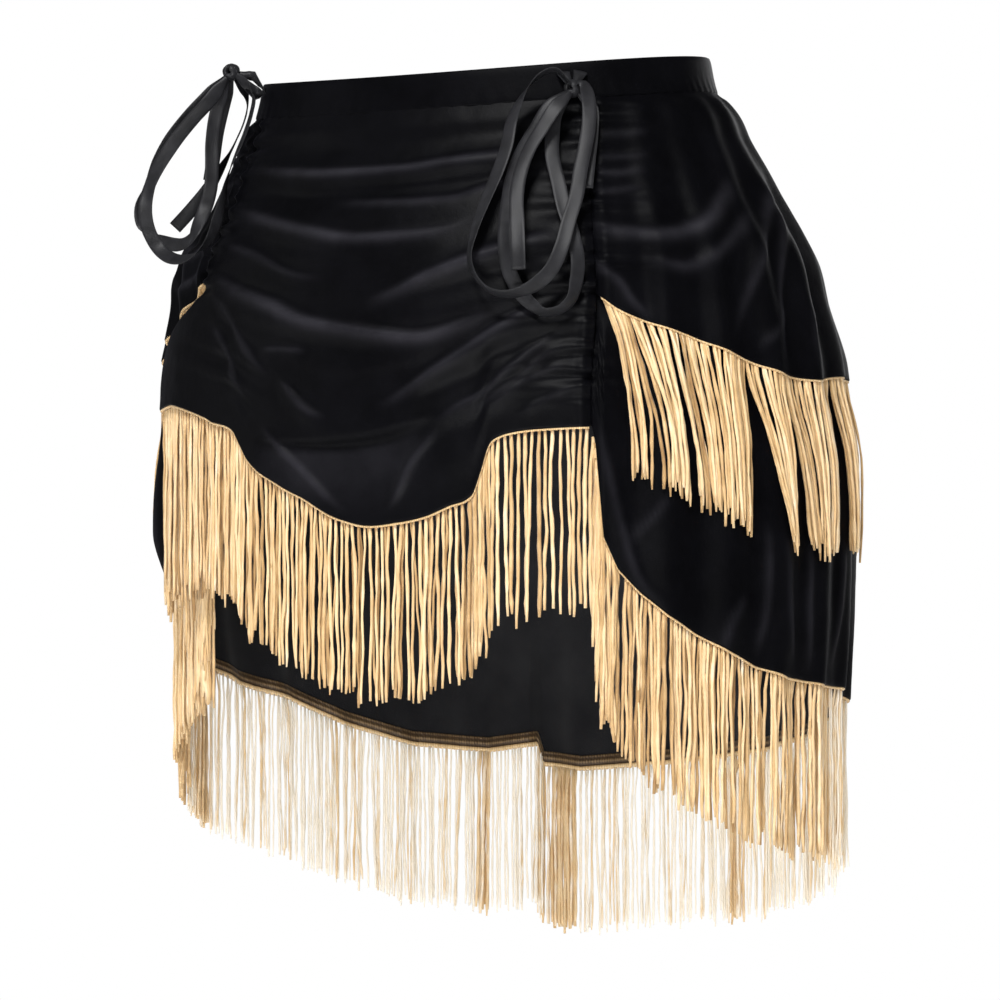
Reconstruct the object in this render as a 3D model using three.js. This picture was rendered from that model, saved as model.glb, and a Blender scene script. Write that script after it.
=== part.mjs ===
// Burlesque bustle skirt, empty and filled out as if worn, in millimetres.
// +Z is up, the front faces -Y, and +X is the wearer's left.
// The origin is the middle of the waist, level with the waistband's top edge at the sides.
// A place on the skirt is given by three numbers: around, in degrees from the centre front
// towards the wearer's left, height, and out, the distance outside the figure's surface.
import * as THREE from 'three';

// Driving dimensions
const CLOTH = 1.6;
const SEAM = 0.3;
const BAND_HEIGHT = 19;
const BAND_WALL = 2.2;
const BAND_COLUMNS = 60;
const FRINGE_DROP = 92;
const DROP_SPREAD = 4;
const HEADER_HEIGHT = 8;
const HEADER_THICK = 1;
const HEADER_GAP = 0.6;
const ROOT = 0.14;
const RIBBON_WIDTH = 10;
const RIBBON_THICK = 0.9;
const RIBBON_STEP = 12;
const BAND_CURVE = { drop: 1.5, front: 9, dip: 3.5 };
const KNOT_RADIUS = 5.5;
const KNOT_GAP = 0.7;

// The figure under the cloth, level by level
const LEVELS = [
  { height: 20, halfWidth: 133, halfDepth: 99, centreY: 3 },
  { height: 0, halfWidth: 133.5, halfDepth: 99, centreY: 4 },
  { height: -18, halfWidth: 137, halfDepth: 101, centreY: 6 },
  { height: -40, halfWidth: 149.5, halfDepth: 111, centreY: 12 },
  { height: -60, halfWidth: 161.5, halfDepth: 120, centreY: 14 },
  { height: -75, halfWidth: 169, halfDepth: 126, centreY: 15 },
  { height: -110, halfWidth: 188.5, halfDepth: 141, centreY: 14 },
  { height: -135, halfWidth: 194.5, halfDepth: 146, centreY: 15 },
  { height: -170, halfWidth: 203.5, halfDepth: 152, centreY: 18 },
  { height: -240, halfWidth: 208.5, halfDepth: 156, centreY: 18 },
  { height: -300, halfWidth: 207.5, halfDepth: 155, centreY: 18 },
  { height: -345, halfWidth: 204.5, halfDepth: 153, centreY: 18 },
  { height: -390, halfWidth: 201.5, halfDepth: 151, centreY: 18 },
  { height: -500, halfWidth: 196, halfDepth: 147, centreY: 18 },
];

// The two ruching lines, where the drawstrings run: how far round from the centre front
const LEFT_LINE = [
  { height: 0, around: 51 },
  { height: -16, around: 49.3 },
  { height: -58, around: 44 },
  { height: -97, around: 42 },
  { height: -136, around: 41.3 },
  { height: -172, around: 39.3 },
  { height: -206, around: 38.9 },
  { height: -420, around: 38.9 },
];
const RIGHT_LINE = [
  { height: 0, around: 51 },
  { height: -16, around: 49.3 },
  { height: -58, around: 44 },
  { height: -97, around: 40.5 },
  { height: -122, around: 38.6 },
  { height: -140, around: 36 },
  { height: -172, around: 32 },
  { height: -206, around: 29 },
  { height: -246, around: 28 },
  { height: -290, around: 29 },
  { height: -340, around: 35 },
  { height: -420, around: 38.9 },
];
const PUCKERS = 16;
const ROWS_PER_PUCKER = 3;
const PUCKER_DEPTH = 2.2;
const PUCKER_REACH = 16;

// Where each ruching line ends at the front hem, and the row of it where the upper tier ends
const SIDES = {
  left: { hemEnd: -206, tierRow: 29, line: curve(LEFT_LINE, 'height', 'around') },
  right: { hemEnd: -190, tierRow: 27, line: curve(RIGHT_LINE, 'height', 'around') },
};

// On the right the front panel leaves its line below the upper tier and swings back over the side
// as a free flap: how many degrees it reaches past the line
const FLAP = [
  { height: 0, past: 0 },
  { height: -120, past: 0 },
  { height: -123.5, past: 0.1 },
  { height: -130, past: 4.3 },
  { height: -133, past: 6.5 },
  { height: -141.5, past: 14.8 },
  { height: -149, past: 20.2 },
  { height: -160, past: 23.6 },
  { height: -175, past: 24.6 },
  { height: -190, past: 24.8 },
  { height: -206, past: 26 },
  { height: -246, past: 27 },
  { height: -420, past: 27 },
];
const FLAP_LIFT = 1.6;
const FLAP_FREE = 6;

// The lower tier lies this far in under the flap, and comes out again behind it
const UNDER_FLAP = { depth: 13, from: -118, to: -135, near: 57.5, far: 68 };

// The scalloped front hem: across runs from the right edge, -1, to the left ruching line, 1
const FRONT_HEM = [
  { across: -1, height: -190 },
  { across: -0.9, height: -188.2 },
  { across: -0.82, height: -187.8 },
  { across: -0.68, height: -192.2 },
  { across: -0.58, height: -196.8 },
  { across: -0.545, height: -199.2 },
  { across: -0.473, height: -201.8 },
  { across: -0.433, height: -205.3 },
  { across: -0.4, height: -212.6 },
  { across: -0.369, height: -219.9 },
  { across: -0.322, height: -227.1 },
  { across: -0.269, height: -232.2 },
  { across: -0.209, height: -237.8 },
  { across: -0.151, height: -242.3 },
  { across: -0.039, height: -253 },
  { across: 0.08, height: -257.5 },
  { across: 0.22, height: -256 },
  { across: 0.33, height: -253 },
  { across: 0.43, height: -247.5 },
  { across: 0.52, height: -242 },
  { across: 0.555, height: -229.5 },
  { across: 0.585, height: -216 },
  { across: 0.62, height: -211.5 },
  { across: 0.7, height: -208.5 },
  { across: 0.82, height: -207 },
  { across: 1, height: -206 },
];
const FRONT_COLUMNS = [
  -1, -0.96, -0.9, -0.82, -0.75, -0.68, -0.61, -0.545, -0.473, -0.433, -0.4, -0.369,
  -0.322, -0.25, -0.17, -0.085, 0, 0.13, 0.26, 0.38, 0.46, 0.52, 0.555, 0.585, 0.64, 0.75, 0.87, 0.95, 1,
];
const FRONT_ROWS = 24;
const FRONT_FOLDS = 8;
const FRONT_FOLD_DEPTH = 3;
const FRONT_SAG = 52;

// Both tiers: share runs from the left ruching line, 0, by the centre back, 1, to the right one, 2
const UPPER_HEM = [
  { share: 0.029, height: -143 },
  { share: 0.065, height: -149 },
  { share: 0.127, height: -158 },
  { share: 0.19, height: -167.5 },
  { share: 0.269, height: -176 },
  { share: 0.342, height: -179.5 },
  { share: 0.6, height: -184 },
  { share: 1, height: -190 },
  { share: 1.4, height: -184 },
  { share: 1.6, height: -176 },
  { share: 1.74, height: -164 },
  { share: 1.87, height: -146 },
  { share: 1.908, height: -137.5 },
  { share: 1.957, height: -129.5 },
  { share: 1.97, height: -127 },
];
const LOWER_HEM = [
  { share: 0.004, height: -214 },
  { share: 0.0085, height: -240 },
  { share: 0.013, height: -264 },
  { share: 0.03, height: -281 },
  { share: 0.056, height: -293 },
  { share: 0.09, height: -305 },
  { share: 0.13, height: -315 },
  { share: 0.173, height: -324 },
  { share: 0.221, height: -332 },
  { share: 0.277, height: -338 },
  { share: 0.36, height: -342 },
  { share: 0.46, height: -345 },
  { share: 0.58, height: -357 },
  { share: 0.68, height: -372 },
  { share: 0.8, height: -383 },
  { share: 0.95, height: -391 },
  { share: 1.06, height: -395.5 },
  { share: 1.1111, height: -393 },
  { share: 1.125, height: -381 },
  { share: 1.18, height: -385 },
  { share: 1.277, height: -381.5 },
  { share: 1.37, height: -369 },
  { share: 1.45, height: -353.5 },
  { share: 1.53, height: -345 },
  { share: 1.586, height: -336 },
  { share: 1.65, height: -325.5 },
  { share: 1.72, height: -308 },
  { share: 1.78, height: -296 },
  { share: 1.83, height: -281 },
  { share: 1.91, height: -268 },
  { share: 1.95, height: -263 },
  { share: 1.97, height: -259 },
  { share: 1.987, height: -247 },
  { share: 1.9915, height: -230 },
  { share: 1.996, height: -206 },
];
const TIER_COLUMNS = 72;
const TIER_FOLDS = 24;
const UPPER_FOLD_DEPTH = 3;
const LOWER_FOLD_DEPTH = 2.6;
const UPPER_ROW_PLACES = [0, 0.035, 0.08, 0.15, 0.3, 0.5, 0.75, 1];
const LOWER_ROW_PLACES = [0, 0.07, 0.16, 0.32, 0.5, 0.68, 0.85, 1];
const ROLL_DEPTH = 3.5;
const ROLL_BELOW_SEAM = 11;
const ROLL_HALF_HEIGHT = 11;
const TUCK = 14;
const TUCK_OUT = -(CLOTH + HEADER_GAP + HEADER_THICK + HEADER_GAP + 0.6);
const TUCK_FADE = 52;
const LAP_SHARE = 1.1111;
const LAP_DEPTH = 6;
const LAP_STEP = 0.0139;
const LAP_FADE_FROM = 0.02;
const LAP_FADE_TO = 0.16;

// Columns for sharp places: the lap near the centre back, and the steep ends of the lower hem,
// where no fringe header fits
const UPPER_EXTRA_COLUMNS = [0.013, 1.987];
const LOWER_EXTRA_COLUMNS = [0.004, 0.0085, 0.013, 1.1185, 1.987, 1.9915, 1.996];
const LOWER_FRINGE_FROM = 0.013;
const LOWER_FRINGE_TO = 1.987;

const VELVET = { color: 0x101013, roughness: 0.85, metalness: 0 };
const SATIN = { color: 0x1b1b1f, roughness: 0.35, metalness: 0 };
const GOLD = { color: 0xd7b47d, roughness: 0.5, metalness: 0 };

const RADIANS = Math.PI / 180;

// The level at which the ruching lines meet the waistband's seam
const SEAM_LEVEL = -30;

const clamp = (value) => Math.min(Math.max(value, 0), 1);

function ease(from, to, value) {
  const t = clamp((value - from) / (to - from));
  return t * t * (3 - 2 * t);
}

// A smooth curve through one column of a table, set against another
function curve(table, key, column) {
  const rows = [...table].sort((a, b) => a[key] - b[key]);
  const last = rows.length - 1;
  const slopes = rows.map((row, i) => {
    const before = rows[Math.max(i - 1, 0)];
    const after = rows[Math.min(i + 1, last)];
    return (after[column] - before[column]) / (after[key] - before[key]);
  });
  return (at) => {
    let i = 0;
    while (i < last - 1 && at > rows[i + 1][key]) i += 1;
    const span = rows[i + 1][key] - rows[i][key];
    const u = clamp((at - rows[i][key]) / span);
    const rise = u * u * (3 - 2 * u);
    const start = u * (1 - u) * (1 - u) * span * slopes[i];
    const end = u * u * (1 - u) * span * slopes[i + 1];
    return rows[i][column] * (1 - rise) + rows[i + 1][column] * rise + start - end;
  };
}

// A straight-sided line through one column of a table, set against another
function line(table, key, column) {
  const last = table.length - 1;
  return (at) => {
    let i = 0;
    while (i < last - 1 && at > table[i + 1][key]) i += 1;
    const u = clamp((at - table[i][key]) / (table[i + 1][key] - table[i][key]));
    return table[i][column] * (1 - u) + table[i + 1][column] * u;
  };
}

const halfWidth = curve(LEVELS, 'height', 'halfWidth');
const halfDepth = curve(LEVELS, 'height', 'halfDepth');
const centreY = curve(LEVELS, 'height', 'centreY');
const flapPast = curve(FLAP, 'height', 'past');

// The level direction that points away from the figure
function outward(around, height) {
  const x = Math.sin(around * RADIANS) / halfWidth(height);
  const y = -Math.cos(around * RADIANS) / halfDepth(height);
  return new THREE.Vector3(x, y, 0).normalize();
}

function place(around, height, out) {
  const x = halfWidth(height) * Math.sin(around * RADIANS);
  const y = centreY(height) - halfDepth(height) * Math.cos(around * RADIANS);
  return new THREE.Vector3(x, y, height).addScaledVector(outward(around, height), out);
}

function degreesFor(distance, around, height) {
  const x = halfWidth(height) * Math.cos(around * RADIANS);
  const y = halfDepth(height) * Math.sin(around * RADIANS);
  return distance / (Math.hypot(x, y) * RADIANS);
}

function waistTop(around) {
  const c = Math.cos(around * RADIANS);
  return -BAND_CURVE.drop - BAND_CURVE.front * c - BAND_CURVE.dip * c * c;
}

const waistSeam = (around) => waistTop(around) - BAND_HEIGHT;

// Seam levels of one ruching line, from the waistband down to the front hem
function seamLevels(side) {
  const top = waistSeam(side.line(SEAM_LEVEL)) - SEAM;
  const rows = PUCKERS * ROWS_PER_PUCKER;
  return Array.from({ length: rows + 1 }, (_, k) => top + (side.hemEnd - top) * k / rows);
}

// How far along a ruching line a height lies, 0 at the waistband and 1 at the front hem
function seamShare(height, side) {
  const levels = seamLevels(side);
  return (height - levels[0]) / (side.hemEnd - levels[0]);
}

// The puckers beside a ruching line, which flatten out over the stitched edge at the end of it
function pucker(distance, height, side, end) {
  const wave = Math.sin(2 * Math.PI * PUCKERS * seamShare(height, side));
  const flat = ease(end + HEADER_HEIGHT, end + 2 * HEADER_HEIGHT, height);
  return PUCKER_DEPTH * wave * flat * Math.exp(-distance / PUCKER_REACH);
}

// A closed mesh from a list of corners and a list of triangles
function solid(name, corners, triangles, finish) {
  const geometry = new THREE.BufferGeometry();
  geometry.setAttribute('position', new THREE.Float32BufferAttribute(corners.flatMap((p) => [p.x, p.y, p.z]), 3));
  geometry.setIndex(triangles.flat());
  geometry.computeVertexNormals();
  const mesh = new THREE.Mesh(geometry, new THREE.MeshStandardMaterial({ ...finish, flatShading: true }));
  mesh.name = name;
  return mesh;
}

// Fills the strip between two rows of corners, each corner with its own place along the row
function stitch(triangles, left, right, inside) {
  let a = 0;
  let b = 0;
  while (a < left.length - 1 || b < right.length - 1) {
    const leftDone = a === left.length - 1;
    const rightDone = b === right.length - 1;
    const stepLeft = rightDone || (!leftDone && left[a + 1].at <= right[b + 1].at);
    const next = stepLeft ? left[a + 1] : right[b + 1];
    const triangle = [left[a].id, next.id, right[b].id];
    triangles.push(inside ? triangle.reverse() : triangle);
    if (stepLeft) a += 1;
    else b += 1;
  }
}

function quad(triangles, a, b, c, d) {
  triangles.push([a, b, c], [a, c, d]);
}

// A wall of cloth from columns that run down it, each a list of { at, outer, inner }
function wall(name, columns, closed, finish) {
  const corners = [];
  const triangles = [];
  const number = (column, face) => column.map((row) => ({ at: row.at, id: corners.push(row[face]) - 1 }));
  const outer = columns.map((column) => number(column, 'outer'));
  const inner = columns.map((column) => number(column, 'inner'));
  const pairs = closed ? columns.length : columns.length - 1;
  for (let i = 0; i < pairs; i += 1) {
    const j = (i + 1) % columns.length;
    stitch(triangles, outer[i], outer[j], false);
    stitch(triangles, inner[i], inner[j], true);
    quad(triangles, outer[i][0].id, outer[j][0].id, inner[j][0].id, inner[i][0].id);
    quad(triangles, inner[i].at(-1).id, inner[j].at(-1).id, outer[j].at(-1).id, outer[i].at(-1).id);
  }
  if (!closed) {
    stitch(triangles, inner[0], outer[0], false);
    stitch(triangles, outer.at(-1), inner.at(-1), false);
  }
  return solid(name, corners, triangles, finish);
}

function clothRow(at, around, height, out, thick = CLOTH) {
  return { at, around, height, outer: place(around, height, out), inner: place(around, height, out - thick) };
}

// The point of a column at a height, between its rows
function atHeight(column, face, height) {
  let i = 0;
  while (i < column.length - 2 && column[i + 1].height > height) i += 1;
  const upper = column[i];
  const lower = column[i + 1];
  const u = (height - upper.height) / (lower.height - upper.height);
  return upper[face].clone().lerp(lower[face], u);
}

// Waistband
function waistband() {
  const columns = Array.from({ length: BAND_COLUMNS }, (_, i) => {
    const around = 360 * i / BAND_COLUMNS;
    return [0, 0.5, 1].map((at) => clothRow(at, around, waistTop(around) - BAND_HEIGHT * at, 0, BAND_WALL));
  });
  return wall('waistband', columns, true, VELVET);
}

// Front panel: rows sag between the ruching lines, puckers at the lines join in pairs into swags
const frontHem = line(FRONT_HEM, 'across', 'height');

const frontSide = (across) => (across > 0 ? SIDES.left : SIDES.right);

// How many degrees the front panel's edge lies past its ruching line, and how far it hangs free
const edgePast = (across, height) => (across > 0 ? 0 : Math.max(flapPast(height), 0));
const freedom = (across, height) => ease(0, FLAP_FREE, edgePast(across, height));

function frontOut(across, at, around, height) {
  const side = frontSide(across);
  const edge = side.line(height) + edgePast(across, height);
  const distance = (1 - Math.abs(across)) * edge / degreesFor(1, around, height);
  const middle = 1 - Math.exp(-distance / PUCKER_REACH);
  const swag = Math.sin(2 * Math.PI * FRONT_FOLDS * at + 0.8 * across);
  const fade = ease(0, 0.06, at) * (1 - 0.8 * ease(0.7, 0.97, at));
  const free = freedom(across, height) * ease(0.5, 0.8, -across);
  const gathers = pucker(distance, height, side, side.hemEnd) * (1 - freedom(across, height));
  return gathers + FRONT_FOLD_DEPTH * middle * swag * fade * (1 - 0.7 * free) + FLAP_LIFT * free;
}

function frontColumn(across) {
  const edge = Math.abs(across) > 0.9;
  const side = frontSide(across);
  const rows = edge ? PUCKERS * ROWS_PER_PUCKER : FRONT_ROWS;
  const levels = seamLevels(side);
  const sideEnd = (SIDES.left.hemEnd + SIDES.right.hemEnd + across * (SIDES.left.hemEnd - SIDES.right.hemEnd)) / 2;
  return Array.from({ length: rows + 1 }, (_, k) => {
    const at = k / rows;
    const top = waistSeam(across * side.line(SEAM_LEVEL)) - SEAM;
    const calm = sideEnd - FRONT_SAG * (1 - across * across);
    const end = calm + (frontHem(across) - calm) * ease(0.45, 1, at);
    const height = Math.abs(across) === 1 ? levels[k] : top + (end - top) * at;
    const line = side.line(height) - degreesFor(SEAM / 2, side.line(height), height);
    const around = across * (line + edgePast(across, height));
    return clothRow(at, around, height, frontOut(across, at, around, height));
  });
}

// Tiers
const tierSide = (share) => (share <= 1 ? SIDES.left : SIDES.right);

function tierAround(share, height) {
  const seam = tierSide(share).line(height);
  const line = seam + degreesFor(SEAM / 2, seam, height);
  const near = line + Math.min(share, 2 - share) * (180 - line);
  return share <= 1 ? near : 360 - near;
}

const tierEnd = (side) => seamLevels(side)[side.tierRow];

const upperHem = curve([
  { share: 0, height: tierEnd(SIDES.left) },
  ...UPPER_HEM,
  { share: 2, height: tierEnd(SIDES.right) },
], 'share', 'height');

const lowerHem = line([
  { share: 0, height: SIDES.left.hemEnd },
  ...LOWER_HEM,
  { share: 2, height: SIDES.right.hemEnd },
], 'share', 'height');

function tierDistance(share, height) {
  const around = tierAround(share, height);
  const degrees = Math.min(around, 360 - around) - tierSide(share).line(height);
  return Math.max(degrees, 0) / degreesFor(1, around, height);
}

function underFlap(share, height) {
  if (share <= 1) return 0;
  const { from, to, near, far } = UNDER_FLAP;
  return ease(from, to, height) * (1 - ease(near, far, 360 - tierAround(share, height)));
}

function upperOut(share, height) {
  const distance = tierDistance(share, height);
  const middle = 1 - Math.exp(-distance / PUCKER_REACH);
  const below = waistSeam(tierAround(share, height)) - height;
  const roll = ROLL_DEPTH * Math.exp(-(((below - ROLL_BELOW_SEAM) / ROLL_HALF_HEIGHT) ** 2));
  const fold = Math.sin(Math.PI * TIER_FOLDS * share + 1.3 * Math.sin(7 * share));
  const grow = 0.35 + 0.65 * ease(10, 120, below);
  const start = ease(0, 5, below);
  const side = tierSide(share);
  return pucker(distance, height, side, tierEnd(side)) + start * middle * (roll + UPPER_FOLD_DEPTH * grow * fold);
}

function lowerOut(share, height) {
  const distance = tierDistance(share, height);
  const middle = 1 - Math.exp(-distance / PUCKER_REACH);
  const below = upperHem(share) - height;
  const tucked = 1 - ease(4, TUCK_FADE, below);
  const fold = Math.sin(Math.PI * TIER_FOLDS * share + 1.1 * Math.sin(5 * share + 1));
  const side = tierSide(share);
  const own = ease(6, 18, below) * pucker(distance, height, side, side.hemEnd) + LOWER_FOLD_DEPTH * middle * fold;
  const stepped = ease(LAP_SHARE, LAP_SHARE + LAP_STEP, share);
  const faded = 1 - ease(LAP_SHARE + LAP_FADE_FROM, LAP_SHARE + LAP_FADE_TO, share);
  const lapped = -LAP_DEPTH * stepped * faded * ease(-300, -360, height);
  const free = tucked * (upperOut(share, height) + TUCK_OUT) + (1 - tucked) * own + lapped;
  const under = underFlap(share, height);
  return free * (1 - under) - UNDER_FLAP.depth * under;
}

function upperColumn(share) {
  const side = tierSide(share);
  const edge = share === 0 || share === 2;
  const levels = edge ? seamLevels(side).slice(0, side.tierRow + 1) : null;
  const rows = edge ? levels.map((_, k) => k / side.tierRow) : UPPER_ROW_PLACES;
  return rows.map((at, k) => {
    const top = waistSeam(tierAround(share, -25)) - SEAM;
    const height = edge ? levels[k] : top + (upperHem(share) - top) * at;
    return clothRow(at, tierAround(share, height), height, upperOut(share, height));
  });
}

function lowerColumn(share) {
  const side = tierSide(share);
  const edge = share === 0 || share === 2;
  const top = upperHem(share) + TUCK;
  const levels = edge ? [top, top - TUCK / 2, ...seamLevels(side).slice(side.tierRow)] : null;
  const rows = edge ? levels.map((height) => (top - height) / (top - side.hemEnd)) : LOWER_ROW_PLACES;
  return rows.map((at, k) => {
    const height = edge ? levels[k] : top + (lowerHem(share) - top) * at;
    return clothRow(at, tierAround(share, height), height, lowerOut(share, height));
  });
}

const tierShares = Array.from({ length: TIER_COLUMNS + 1 }, (_, i) => 2 * i / TIER_COLUMNS);
const upperShares = [...tierShares, ...UPPER_EXTRA_COLUMNS].sort((a, b) => a - b);
const lowerShares = [...tierShares, ...LOWER_EXTRA_COLUMNS].sort((a, b) => a - b);
const frontColumns = FRONT_COLUMNS.map(frontColumn);
const upperColumns = upperShares.map(upperColumn);
const lowerColumns = lowerShares.map(lowerColumn);

// Fringe: a header strip inside the edge of a panel, and locks of strands that hang from it.
// A lock takes the middle of its stretch of header, less the share ROOT at each side of it.
function wobble(number) {
  const value = Math.sin(number * 12.9898) * 43758.5453;
  return 2 * (value - Math.floor(value)) - 1;
}

function headerAt(column) {
  const foot = column.at(-1);
  const inwards = outward(foot.around, foot.height).negate();
  const top = atHeight(column, 'inner', foot.height + HEADER_HEIGHT);
  const down = new THREE.Vector3(0, 0, -1);
  const shift = (point, distance) => point.clone().addScaledVector(inwards, distance);
  return {
    topOuter: shift(top, HEADER_GAP),
    topInner: shift(top, HEADER_GAP + HEADER_THICK),
    footOuter: shift(foot.inner, HEADER_GAP).add(down),
    footInner: shift(foot.inner, HEADER_GAP + HEADER_THICK).add(down),
    outwards: inwards.clone().negate(),
  };
}

function fringe(name, columns, locksPerColumn, hang) {
  const corners = [];
  const triangles = [];
  const id = (point) => corners.push(point) - 1;
  const headers = columns.map(headerAt);
  const topOuter = headers.map((h, i) => ({ at: i, id: id(h.topOuter) }));
  const topInner = headers.map((h, i) => ({ at: i, id: id(h.topInner) }));
  const footOuter = [{ at: 0, id: id(headers[0].footOuter) }];
  const footInner = [{ at: 0, id: id(headers[0].footInner) }];
  const roots = [];
  for (let i = 0; i < columns.length - 1; i += 1) {
    const marks = [];
    for (let k = 0; k < locksPerColumn; k += 1) {
      marks.push((k + ROOT) / locksPerColumn, (k + 1 - ROOT) / locksPerColumn);
    }
    for (const [m, u] of [...marks, 1].entries()) {
      footOuter.push({ at: i + u, id: id(headers[i].footOuter.clone().lerp(headers[i + 1].footOuter, u)) });
      footInner.push({ at: i + u, id: id(headers[i].footInner.clone().lerp(headers[i + 1].footInner, u)) });
      if (m % 2 === 1) roots.push({ end: footOuter.length - 1, column: i, outwards: headers[i].outwards });
    }
  }
  stitch(triangles, footOuter, topOuter, false);
  stitch(triangles, footInner, topInner, true);
  for (let i = 0; i < topOuter.length - 1; i += 1) {
    quad(triangles, topOuter[i].id, topOuter[i + 1].id, topInner[i + 1].id, topInner[i].id);
  }
  const rooted = new Set(roots.map((root) => root.end));
  for (let i = 1; i < footOuter.length; i += 1) {
    if (rooted.has(i)) continue;
    quad(triangles, footInner[i - 1].id, footInner[i].id, footOuter[i].id, footOuter[i - 1].id);
  }
  const first = [topInner[0].id, footInner[0].id, footOuter[0].id, topOuter[0].id];
  const last = [topOuter, footOuter, footInner, topInner].map((row) => row.at(-1).id);
  quad(triangles, ...first);
  quad(triangles, ...last);
  roots.forEach((root, number) => {
    const ends = [footOuter[root.end - 1], footOuter[root.end], footInner[root.end], footInner[root.end - 1]];
    let ring = ends.map((end) => end.id);
    for (const next of hang(ends.map((end) => corners[end.id]), root, number)) {
      const below = next.map(id);
      for (let side = 0; side < 4; side += 1) {
        const after = (side + 1) % 4;
        quad(triangles, ring[side], below[side], below[after], ring[after]);
      }
      ring = below;
    }
    quad(triangles, ring[0], ring[3], ring[2], ring[1]);
  });
  return solid(name, corners, triangles, GOLD);
}

// Locks that hang free, straight down, a little thicker below than at the root
const LOCK_THICK = 2.6;
const LOCK_NARROWING = 0.86;

function hangFree(root, { outwards }, number) {
  const drop = FRINGE_DROP + DROP_SPREAD * wobble(number);
  const middle = root[0].clone().add(root[1]).add(root[2]).add(root[3]).multiplyScalar(0.25);
  const along = root[1].clone().sub(root[0]).setZ(0).normalize();
  const half = root[1].clone().sub(root[0]).setZ(0).length() / 2 * LOCK_NARROWING;
  const slope = (root[1].z - root[0].z) / 2;
  const corner = (a, b) => middle.clone().addScaledVector(along, a * half)
    .addScaledVector(outwards, b * LOCK_THICK / 2).add(new THREE.Vector3(0, 0, a * slope - drop));
  return [[corner(-1, 1), corner(1, 1), corner(1, -1), corner(-1, -1)]];
}

// Locks of the upper fringe lie over the lower tier, the first ones combed towards the back
const COMB = 0.045;
const COMB_REACH = 0.06;
const COMB_CLEAR = 1.2;
const LOCK_CLEAR = 1.5;
const BEND = 0.35;
const OVER_PARTS = [0.1, 0.2, 0.35, 0.5, 0.6, 0.7, 0.8, 0.9, 1];

function lowerSurface(share, height) {
  let i = 0;
  while (i < lowerShares.length - 2 && lowerShares[i + 1] < share) i += 1;
  const u = (share - lowerShares[i]) / (lowerShares[i + 1] - lowerShares[i]);
  const from = atHeight(lowerColumns[i], 'outer', height);
  const to = atHeight(lowerColumns[i + 1], 'outer', height);
  return from.lerp(to, u);
}

// How far out of its root a lock has to reach, at its bend and at its foot, to lie over the tier
function reachOver(root, surface, outwards) {
  const needed = OVER_PARTS.map((part) => ({
    part,
    reach: surface(part).sub(root).dot(outwards) + LOCK_CLEAR,
  }));
  const foot = Math.max(...needed.filter((n) => n.part > 0.7).map((n) => n.reach));
  const bends = needed.filter((n) => n.part <= 0.7).map((n) => {
    if (n.part <= BEND) return n.reach * BEND / n.part;
    const share = (n.part - BEND) / (1 - BEND);
    return (n.reach - foot * share) / (1 - share);
  });
  return { [BEND]: Math.max(...bends), 1: foot };
}

function hangOver(root, { column, outwards }, number) {
  const [from, to] = [upperShares[column], upperShares[column + 1]];
  const shares = [from + ROOT * (to - from), to - ROOT * (to - from)];
  const drop = FRINGE_DROP + DROP_SPREAD * wobble(number + 50);
  const comb = COMB * (Math.exp(-shares[0] / COMB_REACH) - Math.exp(-(2 - shares[1]) / COMB_REACH));
  const extra = COMB_CLEAR * Math.min(1, Math.abs(comb) / 0.01);
  const surfaces = shares.map((share, end) => (part) =>
    lowerSurface(share + comb * Math.sqrt(part), root[end].z - drop * part));
  const inner = [root[3], root[2]];
  const reaches = inner.map((corner, end) => reachOver(corner, surfaces[end], outwards));
  return [BEND, 1].map((part) => {
    const place = (end, thick) => {
      const point = surfaces[end](part);
      const push = reaches[end][part] - point.clone().sub(inner[end]).dot(outwards);
      return point.addScaledVector(outwards, push + extra + thick);
    };
    return [place(0, LOCK_THICK), place(1, LOCK_THICK), place(1, 0), place(0, 0)];
  });
}

// Ribbons: each route is a list of around, height, out and turn. A ribbon turned 0 shows its flat
// side outwards, and one turned 90 stands on its edge. Every ribbon starts at a knot.
const KNOTS = {
  left: { around: 44, height: -22.5, out: 14 },
  right: { around: -52, height: -2, out: 20.5 },
};

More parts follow.
